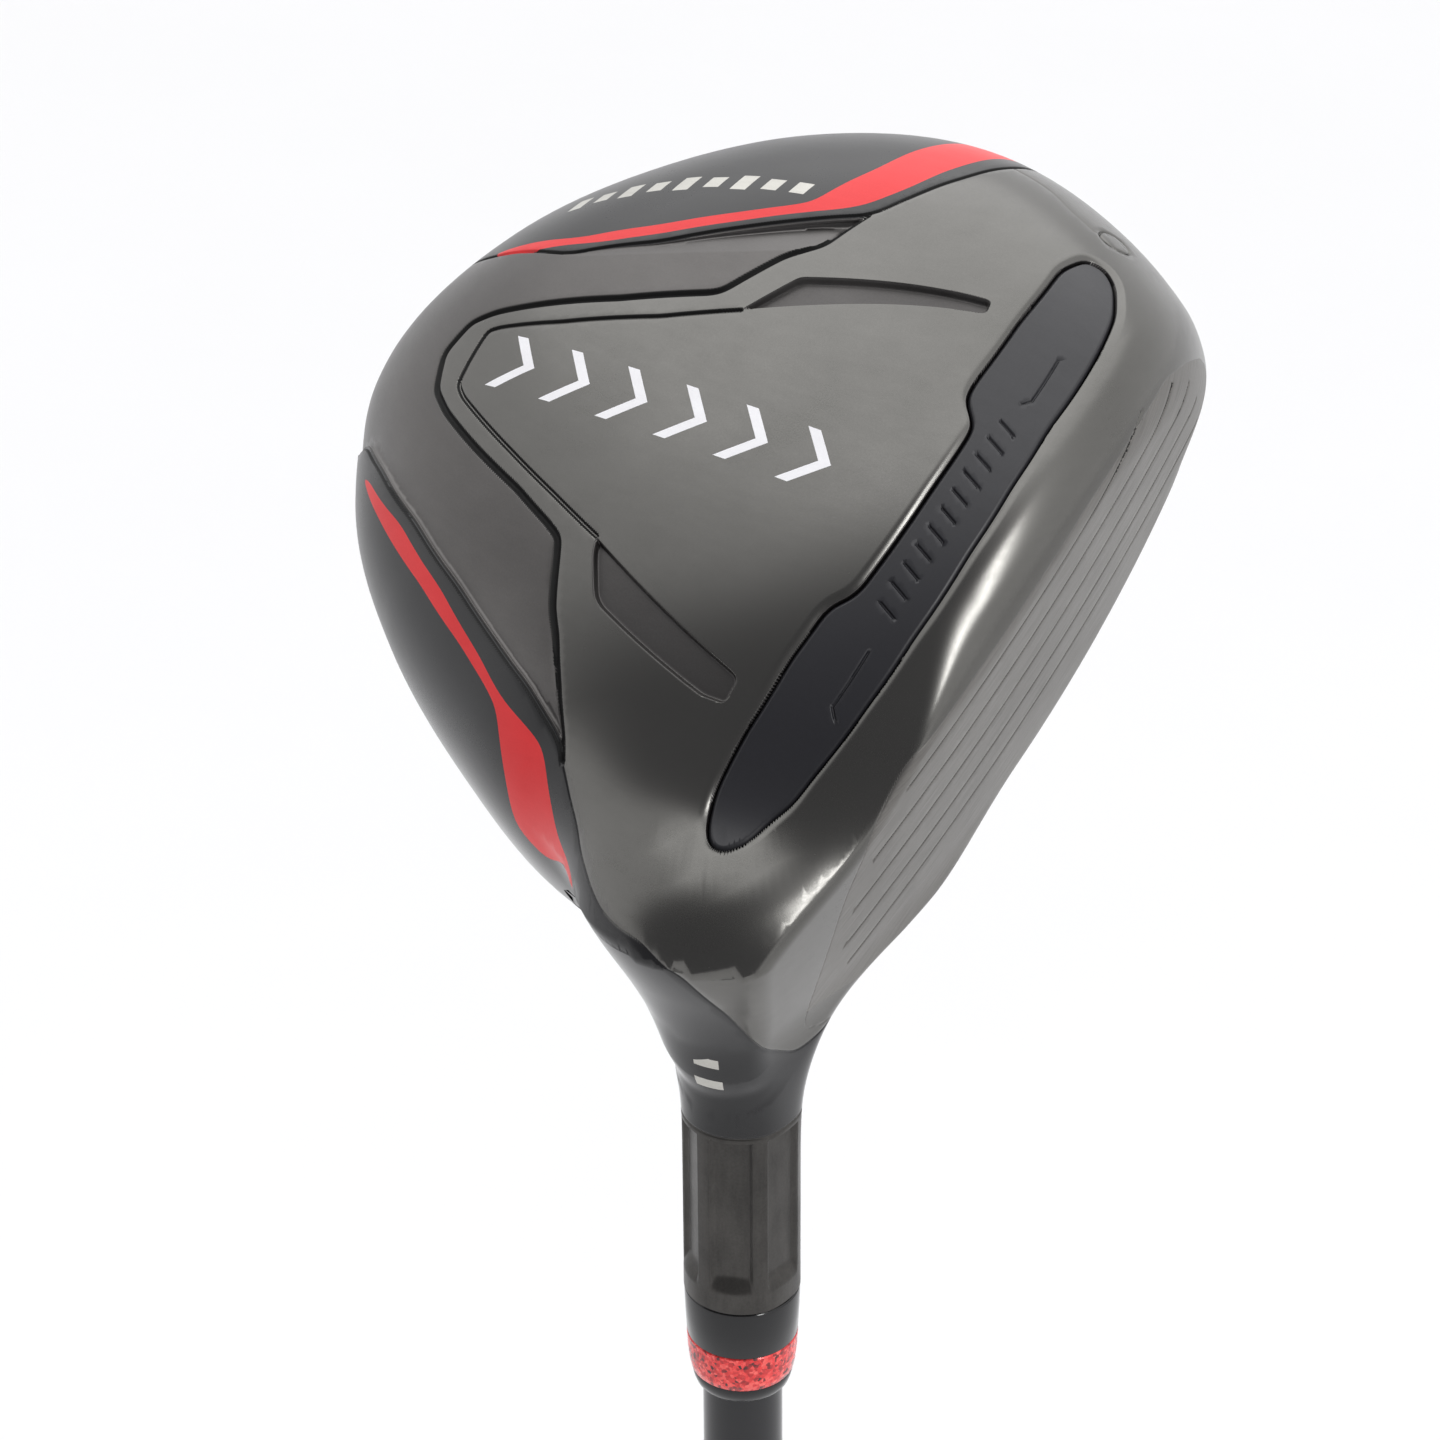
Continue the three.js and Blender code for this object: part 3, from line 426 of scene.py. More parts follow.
markRows = []  # plain printed marks: chevrons down the middle of the sole, slanted bars on the toe skirt
for y in np.arange(-66, -24, 8.0):
    markRows.append([(0, y), (3.4, y - 3.4), (3.4, y - 5), (0, y - 1.6), (-3.4, y - 5), (-3.4, y - 3.4)])
chevrons = [skinPath(m, closed=True, step=0.8) for m in markRows]
barRow = dict(start=(24.2, -79.0, 7.4), end=(32.4, -52.2, 4.0), count=9, across=(-1.9, 0.7, -1.15), wide=0.95, lean=0.9)
barFrom, barTo, over = (np.array(barRow[k], float) for k in ("start", "end", "across"))
way = (barTo - barFrom) / np.linalg.norm(barTo - barFrom)
over = over / np.linalg.norm(over)
bars = []
for t in np.linspace(0, 1, barRow["count"]):
    at, tall = barFrom + (barTo - barFrom) * t, 1.15 if barRow["count"] * t % 2 < 1 else 0.85
    bars.append(skinPath([tuple(at + over * i * tall + way * (j * barRow["wide"] - i * barRow["lean"] * tall * 0.5))
                          for i, j in ((-1, -1), (-1, 1), (1, 1), (1, -1))], closed=True, step=0.5))
for m in chevrons + bars:
    linePoints.append(alongPath(m, True, [0], 0.3))
linePoints.append(alongPath(paths["neckEdge"], False, [0, 0.1, -0.1]))


def flatAt(uv):  # chart points as points in space, for pathDistance
    return np.column_stack([uv, uv[:, 0] * 0])


ring = castOut(neckChart, neckRingPoints())
ringLoop = toChart(soleChart, ring)
crownUv = loops["crownEdge"]
lineUv = toChart(soleChart, np.vstack(linePoints))

grid = hexGrid(104, 0.72)
radius = np.hypot(grid[:, 0], grid[:, 1])
coarse = hexGrid(140, 1.05)
coarseRadius = np.hypot(coarse[:, 0], coarse[:, 1])
grid = np.vstack([grid[radius < 52], coarse[(coarseRadius >= 52)]])
grid = grid[insideLoop(grid, crownUv) & ~insideLoop(grid, ringLoop)]
grid = refined(soleChart, grid, 104, 0.36)
grid = grid[insideLoop(grid, crownUv) & ~insideLoop(grid, ringLoop)]
gridAt = castOut(soleChart, grid)
clear = np.full(len(grid), 9.0)
for name in set(grooves) | set(hollows) | {"toeStripe", "heelStripe", "topEdge", "rearEdge", "crownEdge", "ridge"}:
    margin = 1.15 if name in ("slot", "faceEdge") else 0.6 if name in hollows else 0.3 + grooves.get(name, (0,))[0]
    clear = np.minimum(clear, pathDistance(gridAt, paths[name], name in closedPaths, 2.0) / margin)
for m in chevrons + bars:
    clear = np.minimum(clear, pathDistance(gridAt, m, True, 1.0) / 0.25)
clear = np.minimum(clear, pathDistance(gridAt, ring, True, 2.0) / 0.35)
lineUv = lineUv[insideLoop(lineUv, crownUv) | (pathDistance(flatAt(lineUv), flatAt(crownUv), True, 1) < 0.02)]
lineUv = lineUv[~insideLoop(lineUv, ringLoop)]
uv, faces = triangles(np.vstack([lineUv, ringLoop, grid[clear > 1]]))
mid = uv[faces].mean(1)
keep = insideLoop(mid, crownUv) & ~insideLoop(mid, ringLoop)
faces, mid = faces[keep], mid[keep]
print("head: %d points, %d triangles on the body" % (len(uv), len(faces)))


def leaned(p, depthOf, e=0.04):  # skin points moved in by a depth, their normals leaned by its slope, and the plain normals
    n = fieldNormal(p)
    t1 = np.cross(n, [0.31, 0.52, 0.79])
    t1 /= np.linalg.norm(t1, axis=-1, keepdims=True)
    t2 = np.cross(n, t1)
    lean = n + t1 * ((depthOf(p + t1 * e) - depthOf(p - t1 * e)) / (2 * e))[:, None] \
             + t2 * ((depthOf(p + t2 * e) - depthOf(p - t2 * e)) / (2 * e))[:, None]
    return p - n * depthOf(p)[:, None], lean / np.linalg.norm(lean, axis=-1, keepdims=True), n


def faceOut(at, faces, out):  # turns round the triangles that look inward; out is one direction for each triangle
    a, b, c = (at[faces[:, k]] for k in range(3))
    turned = (np.cross(b - a, c - a) * out).sum(-1) < 0
    return np.where(turned[:, None], faces[:, ::-1], faces)


bodyAt, bodyNormal, plain = leaned(castOut(soleChart, uv), skinDepth)
faces = faceOut(bodyAt, faces, plain[faces[:, 0]])

# zones: 0 satin steel, 1 darker rear steel, 2 black paint, 3 face, 4 toe stripe, 5 heel stripe, 6 chevrons, 7 silver
# marks,
# 8 hosel steel, 9 near-black painted shade in the cut lines, 10 pocket floors, 11 near-black painted shade in the
# face's lines, 12 the port's plug
zone = np.where(insideLoop(mid, toChart(soleChart, steelLoop)), 0, 2)
zone[insideLoop(mid, rearLoop) & (zone == 0)] = 1
for name in ("toePocket", "heelPocket"):
    zone[insideLoop(mid, loops[name])] = 10
zone[insideLoop(mid, loops["slot"])] = 10
for value, name in ((3, "faceEdge"), (4, "toeStripe"), (5, "heelStripe")):
    zone[insideLoop(mid, loops[name])] = value
for name in ("outerV", "innerV", "skirtToe", "skirtHeel"):  # painted shade: the bottom of the cut lines is coloured near-black
    bottom = pathDistance(bodyAt[faces].mean(1), paths[name], name in closedPaths, 2.0) < grooves[name][0] * 0.82
    zone[bottom & (zone < 3)] = 9
# painted shade: the bottom of the face's lines is coloured near-black
for name in ("score0", "score1", "score2", "score3", "score4"):
    bottom = pathDistance(bodyAt[faces].mean(1), paths[name], False, 2.0) < grooves[name][0] * 0.6
    zone[bottom & (zone == 3)] = 11
zone[insideLoop(mid, loops["port"])] = 12
# painted shade: the bottom of the port's ring groove is coloured near-black
zone[pathDistance(bodyAt[faces].mean(1), paths["port"], True, 2.0) < grooves["port"][0] * 0.7] = 9
for m in chevrons:
    zone[insideLoop(mid, toChart(soleChart, m))] = 6
for m in bars:
    zone[insideLoop(mid, toChart(soleChart, m))] = 7


print("head: neck and fluted hosel")
hoselLook = dict(flutes=6, turn=math.radians(3), halfWidth=2.45, floorRadius=5.25, start=48.0, end=67.6, paintEnd=47.4)


def castHosel(along, a):  # the skin straight out from the hosel's axis
    out = np.cos(a)[:, None] * neckChart["side"] + np.sin(a)[:, None] * neckChart["cross"]
    start = axisFoot + along[:, None] * axisWay
    near, _ = halve(lambda t: start + out * t[:, None], np.zeros(len(a)), np.full(len(a), 12.0))
    return start + out * near[:, None]


def fluteDepth(p):  # flats sunk below the round, with upright sides, a square top end and a ramp at the ferrule end
    f = hoselLook
    rel = p - axisFoot
    along = rel @ axisWay
    a = np.arctan2(rel @ neckChart["cross"], rel @ neckChart["side"]) - f["turn"]
    pitch = 2 * np.pi / f["flutes"]
    a = (a + pitch / 2) % pitch - pitch / 2
    across = np.sqrt(np.maximum((rel ** 2).sum(-1) - along ** 2, 0))
    flat = np.maximum(across - f["floorRadius"] / np.cos(a), 0)
    inside = np.minimum(f["halfWidth"] - np.abs(across * np.sin(a)), along - f["start"])
    step = 0.1 * (1 - easeStep(np.abs(along - f["paintEnd"]) / 0.25))  # the paint's edge
    return np.maximum(flat * easeStep(inside / 0.4) * easeStep((f["end"] - along) / 2.2), step)


hoselRows = np.concatenate([np.arange(hoselStart, 47.1, 0.36), np.arange(47.15, 47.7, 0.12), np.arange(47.8, 48.6, 0.1),
                            np.arange(49, 65, 1.0), np.arange(65.2, 68, 0.2), [68.5, 69.2, 69.85]])
angles = np.arange(turns) * 2 * np.pi / turns
hoselA, hoselT = np.meshgrid(angles, hoselRows)
hoselAt, hoselNormal, _ = leaned(castHosel(hoselT.ravel(), hoselA.ravel()), fluteDepth)
rim = castHosel(np.full(turns, hoselTop), angles)
outward = rim - (axisFoot + axisWay * hoselTop)
outward /= np.linalg.norm(outward, axis=-1, keepdims=True)
hoselAt = np.vstack([hoselAt, rim - outward * 0.16, rim - outward * 1.3])
hoselNormal = np.vstack([hoselNormal, (outward + axisWay) / math.sqrt(2), np.tile(axisWay, (turns, 1))])


def gridFaces(rows, cols):  # quads of a grid that closes round its columns, as triangles
    i = np.arange(cols)
    j = (i + 1) % cols
    r = np.arange(rows - 1)[:, None] * cols
    quad = np.stack([r + i, r + j, r + cols + j, r + cols + i], -1).reshape(-1, 4)
    return np.vstack([quad[:, [0, 1, 2]], quad[:, [0, 2, 3]]])


hoselFaces = gridFaces(len(hoselRows) + 2, turns)
hoselZone = np.where(hoselAt[hoselFaces].mean(1) @ axisWay - axisFoot @ axisWay > hoselLook["paintEnd"], 8, 2)

upperLoop = toChart(neckChart, castHosel(np.full(turns, hoselStart), angles))
outerLoop = neckRingPoints()
neckGrid = hexGrid(26, 0.55)
neckGrid = neckGrid[insideLoop(neckGrid, neckRingPoints(0.98)) & ~insideLoop(neckGrid, upperLoop * 1.06)]
neckGrid = refined(neckChart, neckGrid, 26, 0.32)
neckGrid = neckGrid[insideLoop(neckGrid, neckRingPoints(0.985)) & ~insideLoop(neckGrid, upperLoop * 1.05)]
neckBars = dict(heights=(36.4, 39.4), turns=((68, 88), (66, 90)), tall=1.25, points=9)  # plain bars on the neck's heel side
neckMarks = []
for t, (first, last) in zip(neckBars["heights"], neckBars["turns"]):
    count = neckBars["points"]
    turn = np.radians(np.linspace(first, last, count))
    neckMarks.append(np.vstack([castHosel(np.full(count, t), turn), castHosel(np.full(count, t + neckBars["tall"]), turn[::-1])]))
neckLine = np.vstack([alongPath(paths["neckEdge"], False, [0, 0.1, -0.1, 0.2, -0.2])] + [alongPath(m, True, [0], 0.25) for m in neckMarks])
neckLineUv = toChart(neckChart, neckLine)
neckLineUv = neckLineUv[insideLoop(neckLineUv, outerLoop * 0.995)]
neckGridAt = castOut(neckChart, neckGrid)
near = pathDistance(neckGridAt, paths["neckEdge"], False, 2.0) > 0.5
for m in neckMarks:
    near &= pathDistance(neckGridAt, m, True, 1.0) > 0.22
neckUv, neckFaces = triangles(np.vstack([neckLineUv, upperLoop, outerLoop, neckGrid[near]]))
neckMid = neckUv[neckFaces].mean(1)
keep = insideLoop(neckMid, outerLoop) & ~insideLoop(neckMid, upperLoop)
neckFaces, neckMid = neckFaces[keep], neckMid[keep]
neckAt, neckNormal, neckPlain = leaned(castOut(neckChart, neckUv), skinDepth)
neckFaces = faceOut(neckAt, neckFaces, neckPlain[neckFaces[:, 0]])
steelUv = toChart(soleChart, steelLoop)
neckZone = np.where(insideLoop(toChart(soleChart, neckAt[neckFaces].mean(1)), steelUv)
                    & (neckAt[neckFaces].mean(1)[:, 1] > -60), 0, 2)
for m in neckMarks:
    neckZone[insideLoop(neckMid, toChart(neckChart, m))] = 7
hoselFaces = faceOut(hoselAt, hoselFaces, hoselNormal[hoselFaces].mean(1))

skinAt = np.vstack([bodyAt, neckAt, hoselAt])
skinNormal = np.vstack([bodyNormal, neckNormal, hoselNormal])
skinFaces = np.vstack([faces, neckFaces + len(bodyAt), hoselFaces + len(bodyAt) + len(neckAt)])
skinZone = np.concatenate([zone, neckZone, hoselZone])


# ---- finishes

def startMaterial(name):
    m = bpy.data.materials.new(name)
    m.use_nodes = True
    tree = m.node_tree
    return m, tree, tree.nodes["Principled BSDF"]


def addNode(tree, kind, **values):
    n = tree.nodes.new(kind)
    for key, value in values.items():
        if key in n.inputs:
            n.inputs[key].default_value = value
        else:
            setattr(n, key, value)
    return n


def place(tree, source="Object", scale=(1, 1, 1), turn=(0, 0, 0)):
    coords = addNode(tree, "ShaderNodeTexCoord")
    mapping = addNode(tree, "ShaderNodeMapping", Scale=scale, Rotation=turn)
    tree.links.new(coords.outputs[source], mapping.inputs["Vector"])
    return mapping.outputs["Vector"]


def noise(tree, vector, scale, detail=4.0, roughness=0.55):
    n = addNode(tree, "ShaderNodeTexNoise", Scale=scale, Detail=detail, Roughness=roughness)
    tree.links.new(vector, n.inputs["Vector"])
    return n.outputs["Fac"]


def blendOf(tree, a, b, share):  # a x (1 - share) + b x share
    n = addNode(tree, "ShaderNodeMix", data_type="FLOAT")
    n.inputs[0].default_value = share
    tree.links.new(a, n.inputs[2])
    tree.links.new(b, n.inputs[3])
    return n.outputs[0]


def spread(tree, value, low, high, fromLow=0.3, fromHigh=0.7):
    n = addNode(tree, "ShaderNodeMapRange")
    for i, v in enumerate((fromLow, fromHigh, low, high)):
        n.inputs[i + 1].default_value = v
    tree.links.new(value, n.inputs[0])
    return n.outputs[0]


def colours(tree, value, stops):
    n = addNode(tree, "ShaderNodeValToRGB")
    ramp = n.color_ramp
    while len(ramp.elements) < len(stops):
        ramp.elements.new(0.5)
    for element, (at, colour) in zip(ramp.elements, stops):
        element.position = at
        element.color = (*colour, 1)
    tree.links.new(value, n.inputs[0])
    return n.outputs["Color"]


def bump(tree, shader, height, strength, distance):
    n = addNode(tree, "ShaderNodeBump", Strength=strength, Distance=distance)
    tree.links.new(height, n.inputs["Height"])
    tree.links.new(n.outputs["Normal"], shader.inputs["Normal"])


def plainFinish(name, look):  # cloudy colour and roughness, fine grain in the bump, and faint rubs along one way
    m, tree, shader = startMaterial(name)
    cloud = noise(tree, place(tree), look.get("cloud", 45.0), 5.0)
    grain = noise(tree, place(tree), look.get("grain", 5200.0), 2.0)
    rubs = noise(tree, place(tree, look.get("rubSource", "Object"), look.get("rubScale", (60, 900, 500))), 1.0, 6.0, 0.65)
    mixed = blendOf(tree, blendOf(tree, cloud, grain, look.get("grainShare", 0.3)), rubs, look.get("rubShare", 0.25))
    tree.links.new(colours(tree, mixed, [(0.32, look["dark"]), (0.68, look["light"])]), shader.inputs["Base Color"])
    tree.links.new(spread(tree, mixed, look["roughness"] + look["roughSpread"], look["roughness"] - look["roughSpread"]),
                   shader.inputs["Roughness"])
    shader.inputs["Metallic"].default_value = look.get("metallic", 0.0)
    shader.inputs["Specular IOR Level"].default_value = look.get("specular", 0.5)
    shader.inputs["Coat Weight"].default_value = look.get("coat", 0.0)
    shader.inputs["Coat Roughness"].default_value = look.get("coatRoughness", 0.05)
    bump(tree, shader, blendOf(tree, grain, rubs, look.get("rubBump", 0.3)), look.get("bump", 0.2), look.get("bumpDepth", 0.00002))
    return m


steelLook = dict(dark=(0.114, 0.112, 0.106), light=(0.146, 0.143, 0.136), roughness=0.25, roughSpread=0.05, metallic=1.0,
                 rubScale=(260, 260, 1400), rubShare=0.2, bump=0.12)
rearLook = dict(dark=(0.088, 0.084, 0.082), light=(0.115, 0.11, 0.107), roughness=0.34, roughSpread=0.05, metallic=1.0,
                rubScale=(260, 260, 1400), rubShare=0.15, bump=0.22)
skirtLook = dict(dark=(0.008, 0.008, 0.009), light=(0.014, 0.014, 0.015), roughness=0.3, roughSpread=0.05, bump=0.1, rubShare=0.15,
                 specular=0.4)
faceLook = dict(dark=(0.13, 0.125, 0.118), light=(0.23, 0.222, 0.21), roughness=0.4, roughSpread=0.08, metallic=1.0,
                rubSource="UV", rubScale=(150, 6500, 1), rubShare=0.6, rubBump=0.8, bump=0.3)
redLook = dict(dark=(0.72, 0.026, 0.03), light=(0.82, 0.04, 0.044), specular=0.22, roughness=0.36, roughSpread=0.05, bump=0.12, cloud=90.0)
whiteLook = dict(dark=(0.78, 0.77, 0.8), light=(0.9, 0.9, 0.92), roughness=0.4, roughSpread=0.06, bump=0.1, cloud=120.0)
silverLook = dict(dark=(0.4, 0.39, 0.36), light=(0.56, 0.55, 0.51), roughness=0.38, roughSpread=0.06, bump=0.15, metallic=0.6)
hoselFinish = dict(dark=(0.035, 0.033, 0.031), light=(0.075, 0.071, 0.066), roughness=0.36, roughSpread=0.09, metallic=0.7,
                   grain=3600.0, cloud=160.0, rubScale=(900, 900, 160), rubShare=0.35, bump=0.35)
fillerLook = dict(dark=(0.008, 0.008, 0.011), light=(0.015, 0.015, 0.019), roughness=0.4, roughSpread=0.06, bump=0.2, grain=3000.0)
plasticLook = dict(dark=(0.006, 0.006, 0.007), light=(0.012, 0.012, 0.013), roughness=0.13, roughSpread=0.04, specular=0.42,
                   bump=0.04, rubScale=(400, 400, 3000))
shaftLook = dict(dark=(0.006, 0.006, 0.008), light=(0.012, 0.012, 0.014), roughness=0.09, roughSpread=0.03, specular=0.45,
                 bump=0.03, rubScale=(700, 700, 30))
epoxyLook = dict(dark=(0.32, 0.26, 0.14), light=(0.42, 0.35, 0.2), roughness=0.3, roughSpread=0.08, bump=0.2, grain=900.0)
tapeLook = dict(dark=(0.5, 0.46, 0.36), light=(0.62, 0.58, 0.47), roughness=0.7, roughSpread=0.06, bump=0.4, grain=2200.0)
floorLook = dict(dark=(0.86, 0.86, 0.865), light=(0.88, 0.88, 0.885), roughness=0.75, roughSpread=0.04, bump=0.05, grain=400.0,
                 cloud=2.0, rubScale=(3, 3, 3), specular=0.2)
# near-black painted shade for the bottoms of the cut lines, the face's lines and the port's ring groove
paintedShadeLook = dict(dark=(0.004, 0.004, 0.004), light=(0.009, 0.009, 0.009), roughness=0.62, roughSpread=0.06, specular=0.2, bump=0.2)
pocketLook = dict(dark=(0.07, 0.067, 0.066), light=(0.1, 0.096, 0.094), roughness=0.42, roughSpread=0.05, metallic=1.0,
                  rubScale=(260, 260, 1400), rubShare=0.15, bump=0.25)

satinSteel = plainFinish("satinSteel", steelLook)
paintedGrooveShade = plainFinish("paintedGrooveShade", paintedShadeLook)
pocketSteel = plainFinish("pocketSteel", pocketLook)
rearSteel = plainFinish("blastedSteel", rearLook)
faceSteel = plainFinish("brushedFaceSteel", faceLook)
redPaint = plainFinish("redPaint", redLook)
whitePaint = plainFinish("whitePaint", whiteLook)
silverPaint = plainFinish("silverPaint", silverLook)
hoselSteel = plainFinish("hoselSteel", hoselFinish)
fillerRubber = plainFinish("slotRubber", fillerLook)
blackPlastic = plainFinish("ferrulePlastic", plasticLook)
shaftPaint = plainFinish("shaftPaint", shaftLook)
epoxy = plainFinish("bondEpoxy", epoxyLook)
gripTapeFinish = plainFinish("gripTapePaper", tapeLook)


def headPaint():  # satin on the skirts, glossier towards the neck: roughness falls with height along the club
    m = plainFinish("blackHeadPaint", skirtLook)
    tree = m.node_tree
    shader = tree.nodes["Principled BSDF"]
    rough = shader.inputs["Roughness"].links[0].from_socket
    split = addNode(tree, "ShaderNodeSeparateXYZ")
    tree.links.new(place(tree), split.inputs[0])
    glossier = spread(tree, split.outputs["Z"], 0.42, 1.0, 1.066, 1.086)
    times = addNode(tree, "ShaderNodeMath", operation="MULTIPLY")
    tree.links.new(rough, times.inputs[0])
    tree.links.new(glossier, times.inputs[1])
    tree.links.new(times.outputs[0], shader.inputs["Roughness"])
    return m


def glitter():  # cells of clear red with dark specks under a glossy coat
    m, tree, shader = startMaterial("redGlitter")
    cells = addNode(tree, "ShaderNodeTexVoronoi", Scale=2600.0)
    tree.links.new(place(tree), cells.inputs["Vector"])
    split = addNode(tree, "ShaderNodeSeparateColor")
    tree.links.new(cells.outputs["Color"], split.inputs[0])
    patch = noise(tree, place(tree), 900.0, 3.0)
    mixed = blendOf(tree, split.outputs[0], patch, 0.45)
    tree.links.new(colours(tree, mixed, [(0.24, (0.05, 0.004, 0.006)), (0.36, (0.5, 0.012, 0.015)), (0.6, (0.85, 0.035, 0.035)),
                                         (0.8, (0.98, 0.14, 0.12))]), shader.inputs["Base Color"])
    tree.links.new(spread(tree, split.outputs[1], 0.2, 0.5, 0, 1), shader.inputs["Roughness"])
    shader.inputs["Metallic"].default_value = 0.35
    shader.inputs["Coat Weight"].default_value = 0.4
    shader.inputs["Coat Roughness"].default_value = 0.05
    bump(tree, shader, split.outputs[0], 0.25, 0.00003)
    return m


def maths(tree, operation, a, b=None):
    n = addNode(tree, "ShaderNodeMath", operation=operation)
    for i, v in enumerate((a, b)):
        if v is None:
            continue
        if isinstance(v, (int, float)):
            n.inputs[i].default_value = v
        else:
            tree.links.new(v, n.inputs[i])
    return n.outputs[0]


def carbonWeave():  # twill: warp shows where (column - row) counted in fours is below two, each tow rounded by a sine
    m, tree, shader = startMaterial("carbonWeave")
    split = addNode(tree, "ShaderNodeSeparateXYZ")
    tree.links.new(place(tree, "UV", (620, 620, 1), (0, 0, 0.785)), split.inputs[0])
    u, v = split.outputs["X"], split.outputs["Y"]
    pick = maths(tree, "SUBTRACT", maths(tree, "FLOOR", u), maths(tree, "FLOOR", v))
    warp = maths(tree, "LESS_THAN", maths(tree, "FRACT", maths(tree, "DIVIDE", pick, 4.0)), 0.49)
    roundU = maths(tree, "SINE", maths(tree, "MULTIPLY", maths(tree, "FRACT", u), math.pi))
    roundV = maths(tree, "SINE", maths(tree, "MULTIPLY", maths(tree, "FRACT", v), math.pi))
    tow = addNode(tree, "ShaderNodeMix", data_type="FLOAT")
    tree.links.new(warp, tow.inputs[0])
    tree.links.new(roundU, tow.inputs[2])
    tree.links.new(roundV, tow.inputs[3])
    height = tow.outputs[0]
    fibre = noise(tree, place(tree, "UV", (4000, 4000, 1)), 1.0, 3.0)
    # painted sheen and shade: the colour is lighter on each tow's rounded top and on the warp tows, standing in for how
    # light falls on the fibres
    shade = blendOf(tree, blendOf(tree, height, warp, 0.45), fibre, 0.25)
    tree.links.new(colours(tree, shade, [(0.2, (0.006, 0.006, 0.007)), (0.85, (0.03, 0.03, 0.033))]), shader.inputs["Base Color"])
    tree.links.new(spread(tree, shade, 0.42, 0.3, 0, 1), shader.inputs["Roughness"])
    shader.inputs["Coat Weight"].default_value = 1.0
    shader.inputs["Coat Roughness"].default_value = 0.04
    bump(tree, shader, height, 0.2, 0.00004)
    return m


def gripRubber():  # evenly spaced raised dots with a fine grain between
    m, tree, shader = startMaterial("gripRubber")
    dots = addNode(tree, "ShaderNodeTexVoronoi", Scale=1.0, Randomness=0.0)
    tree.links.new(place(tree, "UV", (420, 420, 1), (0, 0, 0.785)), dots.inputs["Vector"])
    round_ = spread(tree, dots.outputs["Distance"], 1.0, 0.0, 0.22, 0.4)
    grain = noise(tree, place(tree), 2600.0, 3.0)
    cloud = noise(tree, place(tree), 30.0, 5.0)
    mixed = blendOf(tree, blendOf(tree, grain, cloud, 0.5), round_, 0.2)
    tree.links.new(colours(tree, mixed, [(0.3, (0.016, 0.016, 0.017)), (0.7, (0.036, 0.036, 0.038))]), shader.inputs["Base Color"])
    tree.links.new(spread(tree, mixed, 0.78, 0.6), shader.inputs["Roughness"])
    bump(tree, shader, blendOf(tree, grain, round_, 0.75), 0.7, 0.0003)
    return m


blackHeadPaint, redGlitter, crownCarbon, rubber = headPaint(), glitter(), carbonWeave(), gripRubber()


# ---- putting pieces into meshes

def makePiece(name, points, normals, faces, materials, index=None, uv=None, stands=()):
    used, faces = np.unique(faces, return_inverse=True)
    faces = faces.reshape(-1, 3)
    mesh = bpy.data.meshes.new(name)
    mesh.from_pydata(points[used].tolist(), [], faces.tolist())
    for m in materials:
        mesh.materials.append(m)
    if index is not None:
        mesh.polygons.foreach_set("material_index", np.asarray(index, np.int32))
    if uv is not None:
        layer = mesh.uv_layers.new(name="plan")
        corner = np.zeros(len(mesh.loops), np.int32)
        mesh.loops.foreach_get("vertex_index", corner)
        layer.data.foreach_set("uv", uv[used][corner].astype(np.float32).ravel())
    mesh.shade_smooth()
    if normals is None:
        mesh.set_sharp_from_angle(angle=math.radians(38))
    else:
        mesh.normals_split_custom_set_from_vertices(normals[used].tolist())
    piece = bpy.data.objects.new(name, mesh)
    bpy.context.scene.collection.objects.link(piece)
    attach(piece, "root")
    if stands:
        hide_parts(*stands)
    return piece


partAt, partNormal = toPart(skinAt), turnToPart(skinNormal)
planUv = skinAt[:, :2] * 0.001
faceUv = skinAt[:, [0, 2]] * 0.001
shellZones = np.isin(skinZone, (0, 1, 2, 7, 8, 9, 10))
slotOf = np.zeros(13, int)
slotOf[[0, 1, 2, 7, 8, 9, 10]] = [0, 1, 2, 3, 4, 5, 6]
makePiece("headShell", partAt, partNormal, skinFaces[shellZones],
          [satinSteel, rearSteel, blackHeadPaint, silverPaint, hoselSteel, paintedGrooveShade, pocketSteel],
          slotOf[skinZone[shellZones]], planUv, ("head_body",))
onFace = np.isin(skinZone, (3, 11))
makePiece("facePlate", partAt, partNormal, skinFaces[onFace], [faceSteel, paintedGrooveShade], (skinZone[onFace] == 11).astype(int), faceUv,
          ("face_plate",))
makePiece("toePortPlug", partAt, partNormal, skinFaces[skinZone == 12], [satinSteel], None, planUv, ("toe_port_plug",))
makePiece("toeStripe", partAt, partNormal, skinFaces[skinZone == 4], [redPaint], None, planUv, ("toe_stripe",))
makePiece("heelStripe", partAt, partNormal, skinFaces[skinZone == 5], [redPaint], None, planUv, ("heel_stripe",))
makePiece("soleChevrons", partAt, partNormal, skinFaces[skinZone == 6], [whitePaint], None, planUv, ("sole_chevrons",))

print("head: slot filler")
fillerLookShape = dict(gap=0.24, sunk=0.4, round=0.5, roundDeep=0.35, tickHalf=0.26, tickDeep=0.3, wall=2.3)
ticks = [[(22.6, -12.9), (16.3, -12.0), (15.5, -12.6)], [(-16.7, -11.9), (-23.2, -12.8), (-24.0, -12.2)]]
ticks += [[(x - 0.45, -10.9 - abs(x) * 0.03), (x + 0.45, -12.9 - abs(x) * 0.03)] for x in np.arange(-12, 12.1, 2.4)]
tickPaths = [skinPath(t, step=0.8) for t in ticks]
slotLoop = loops["slot"]


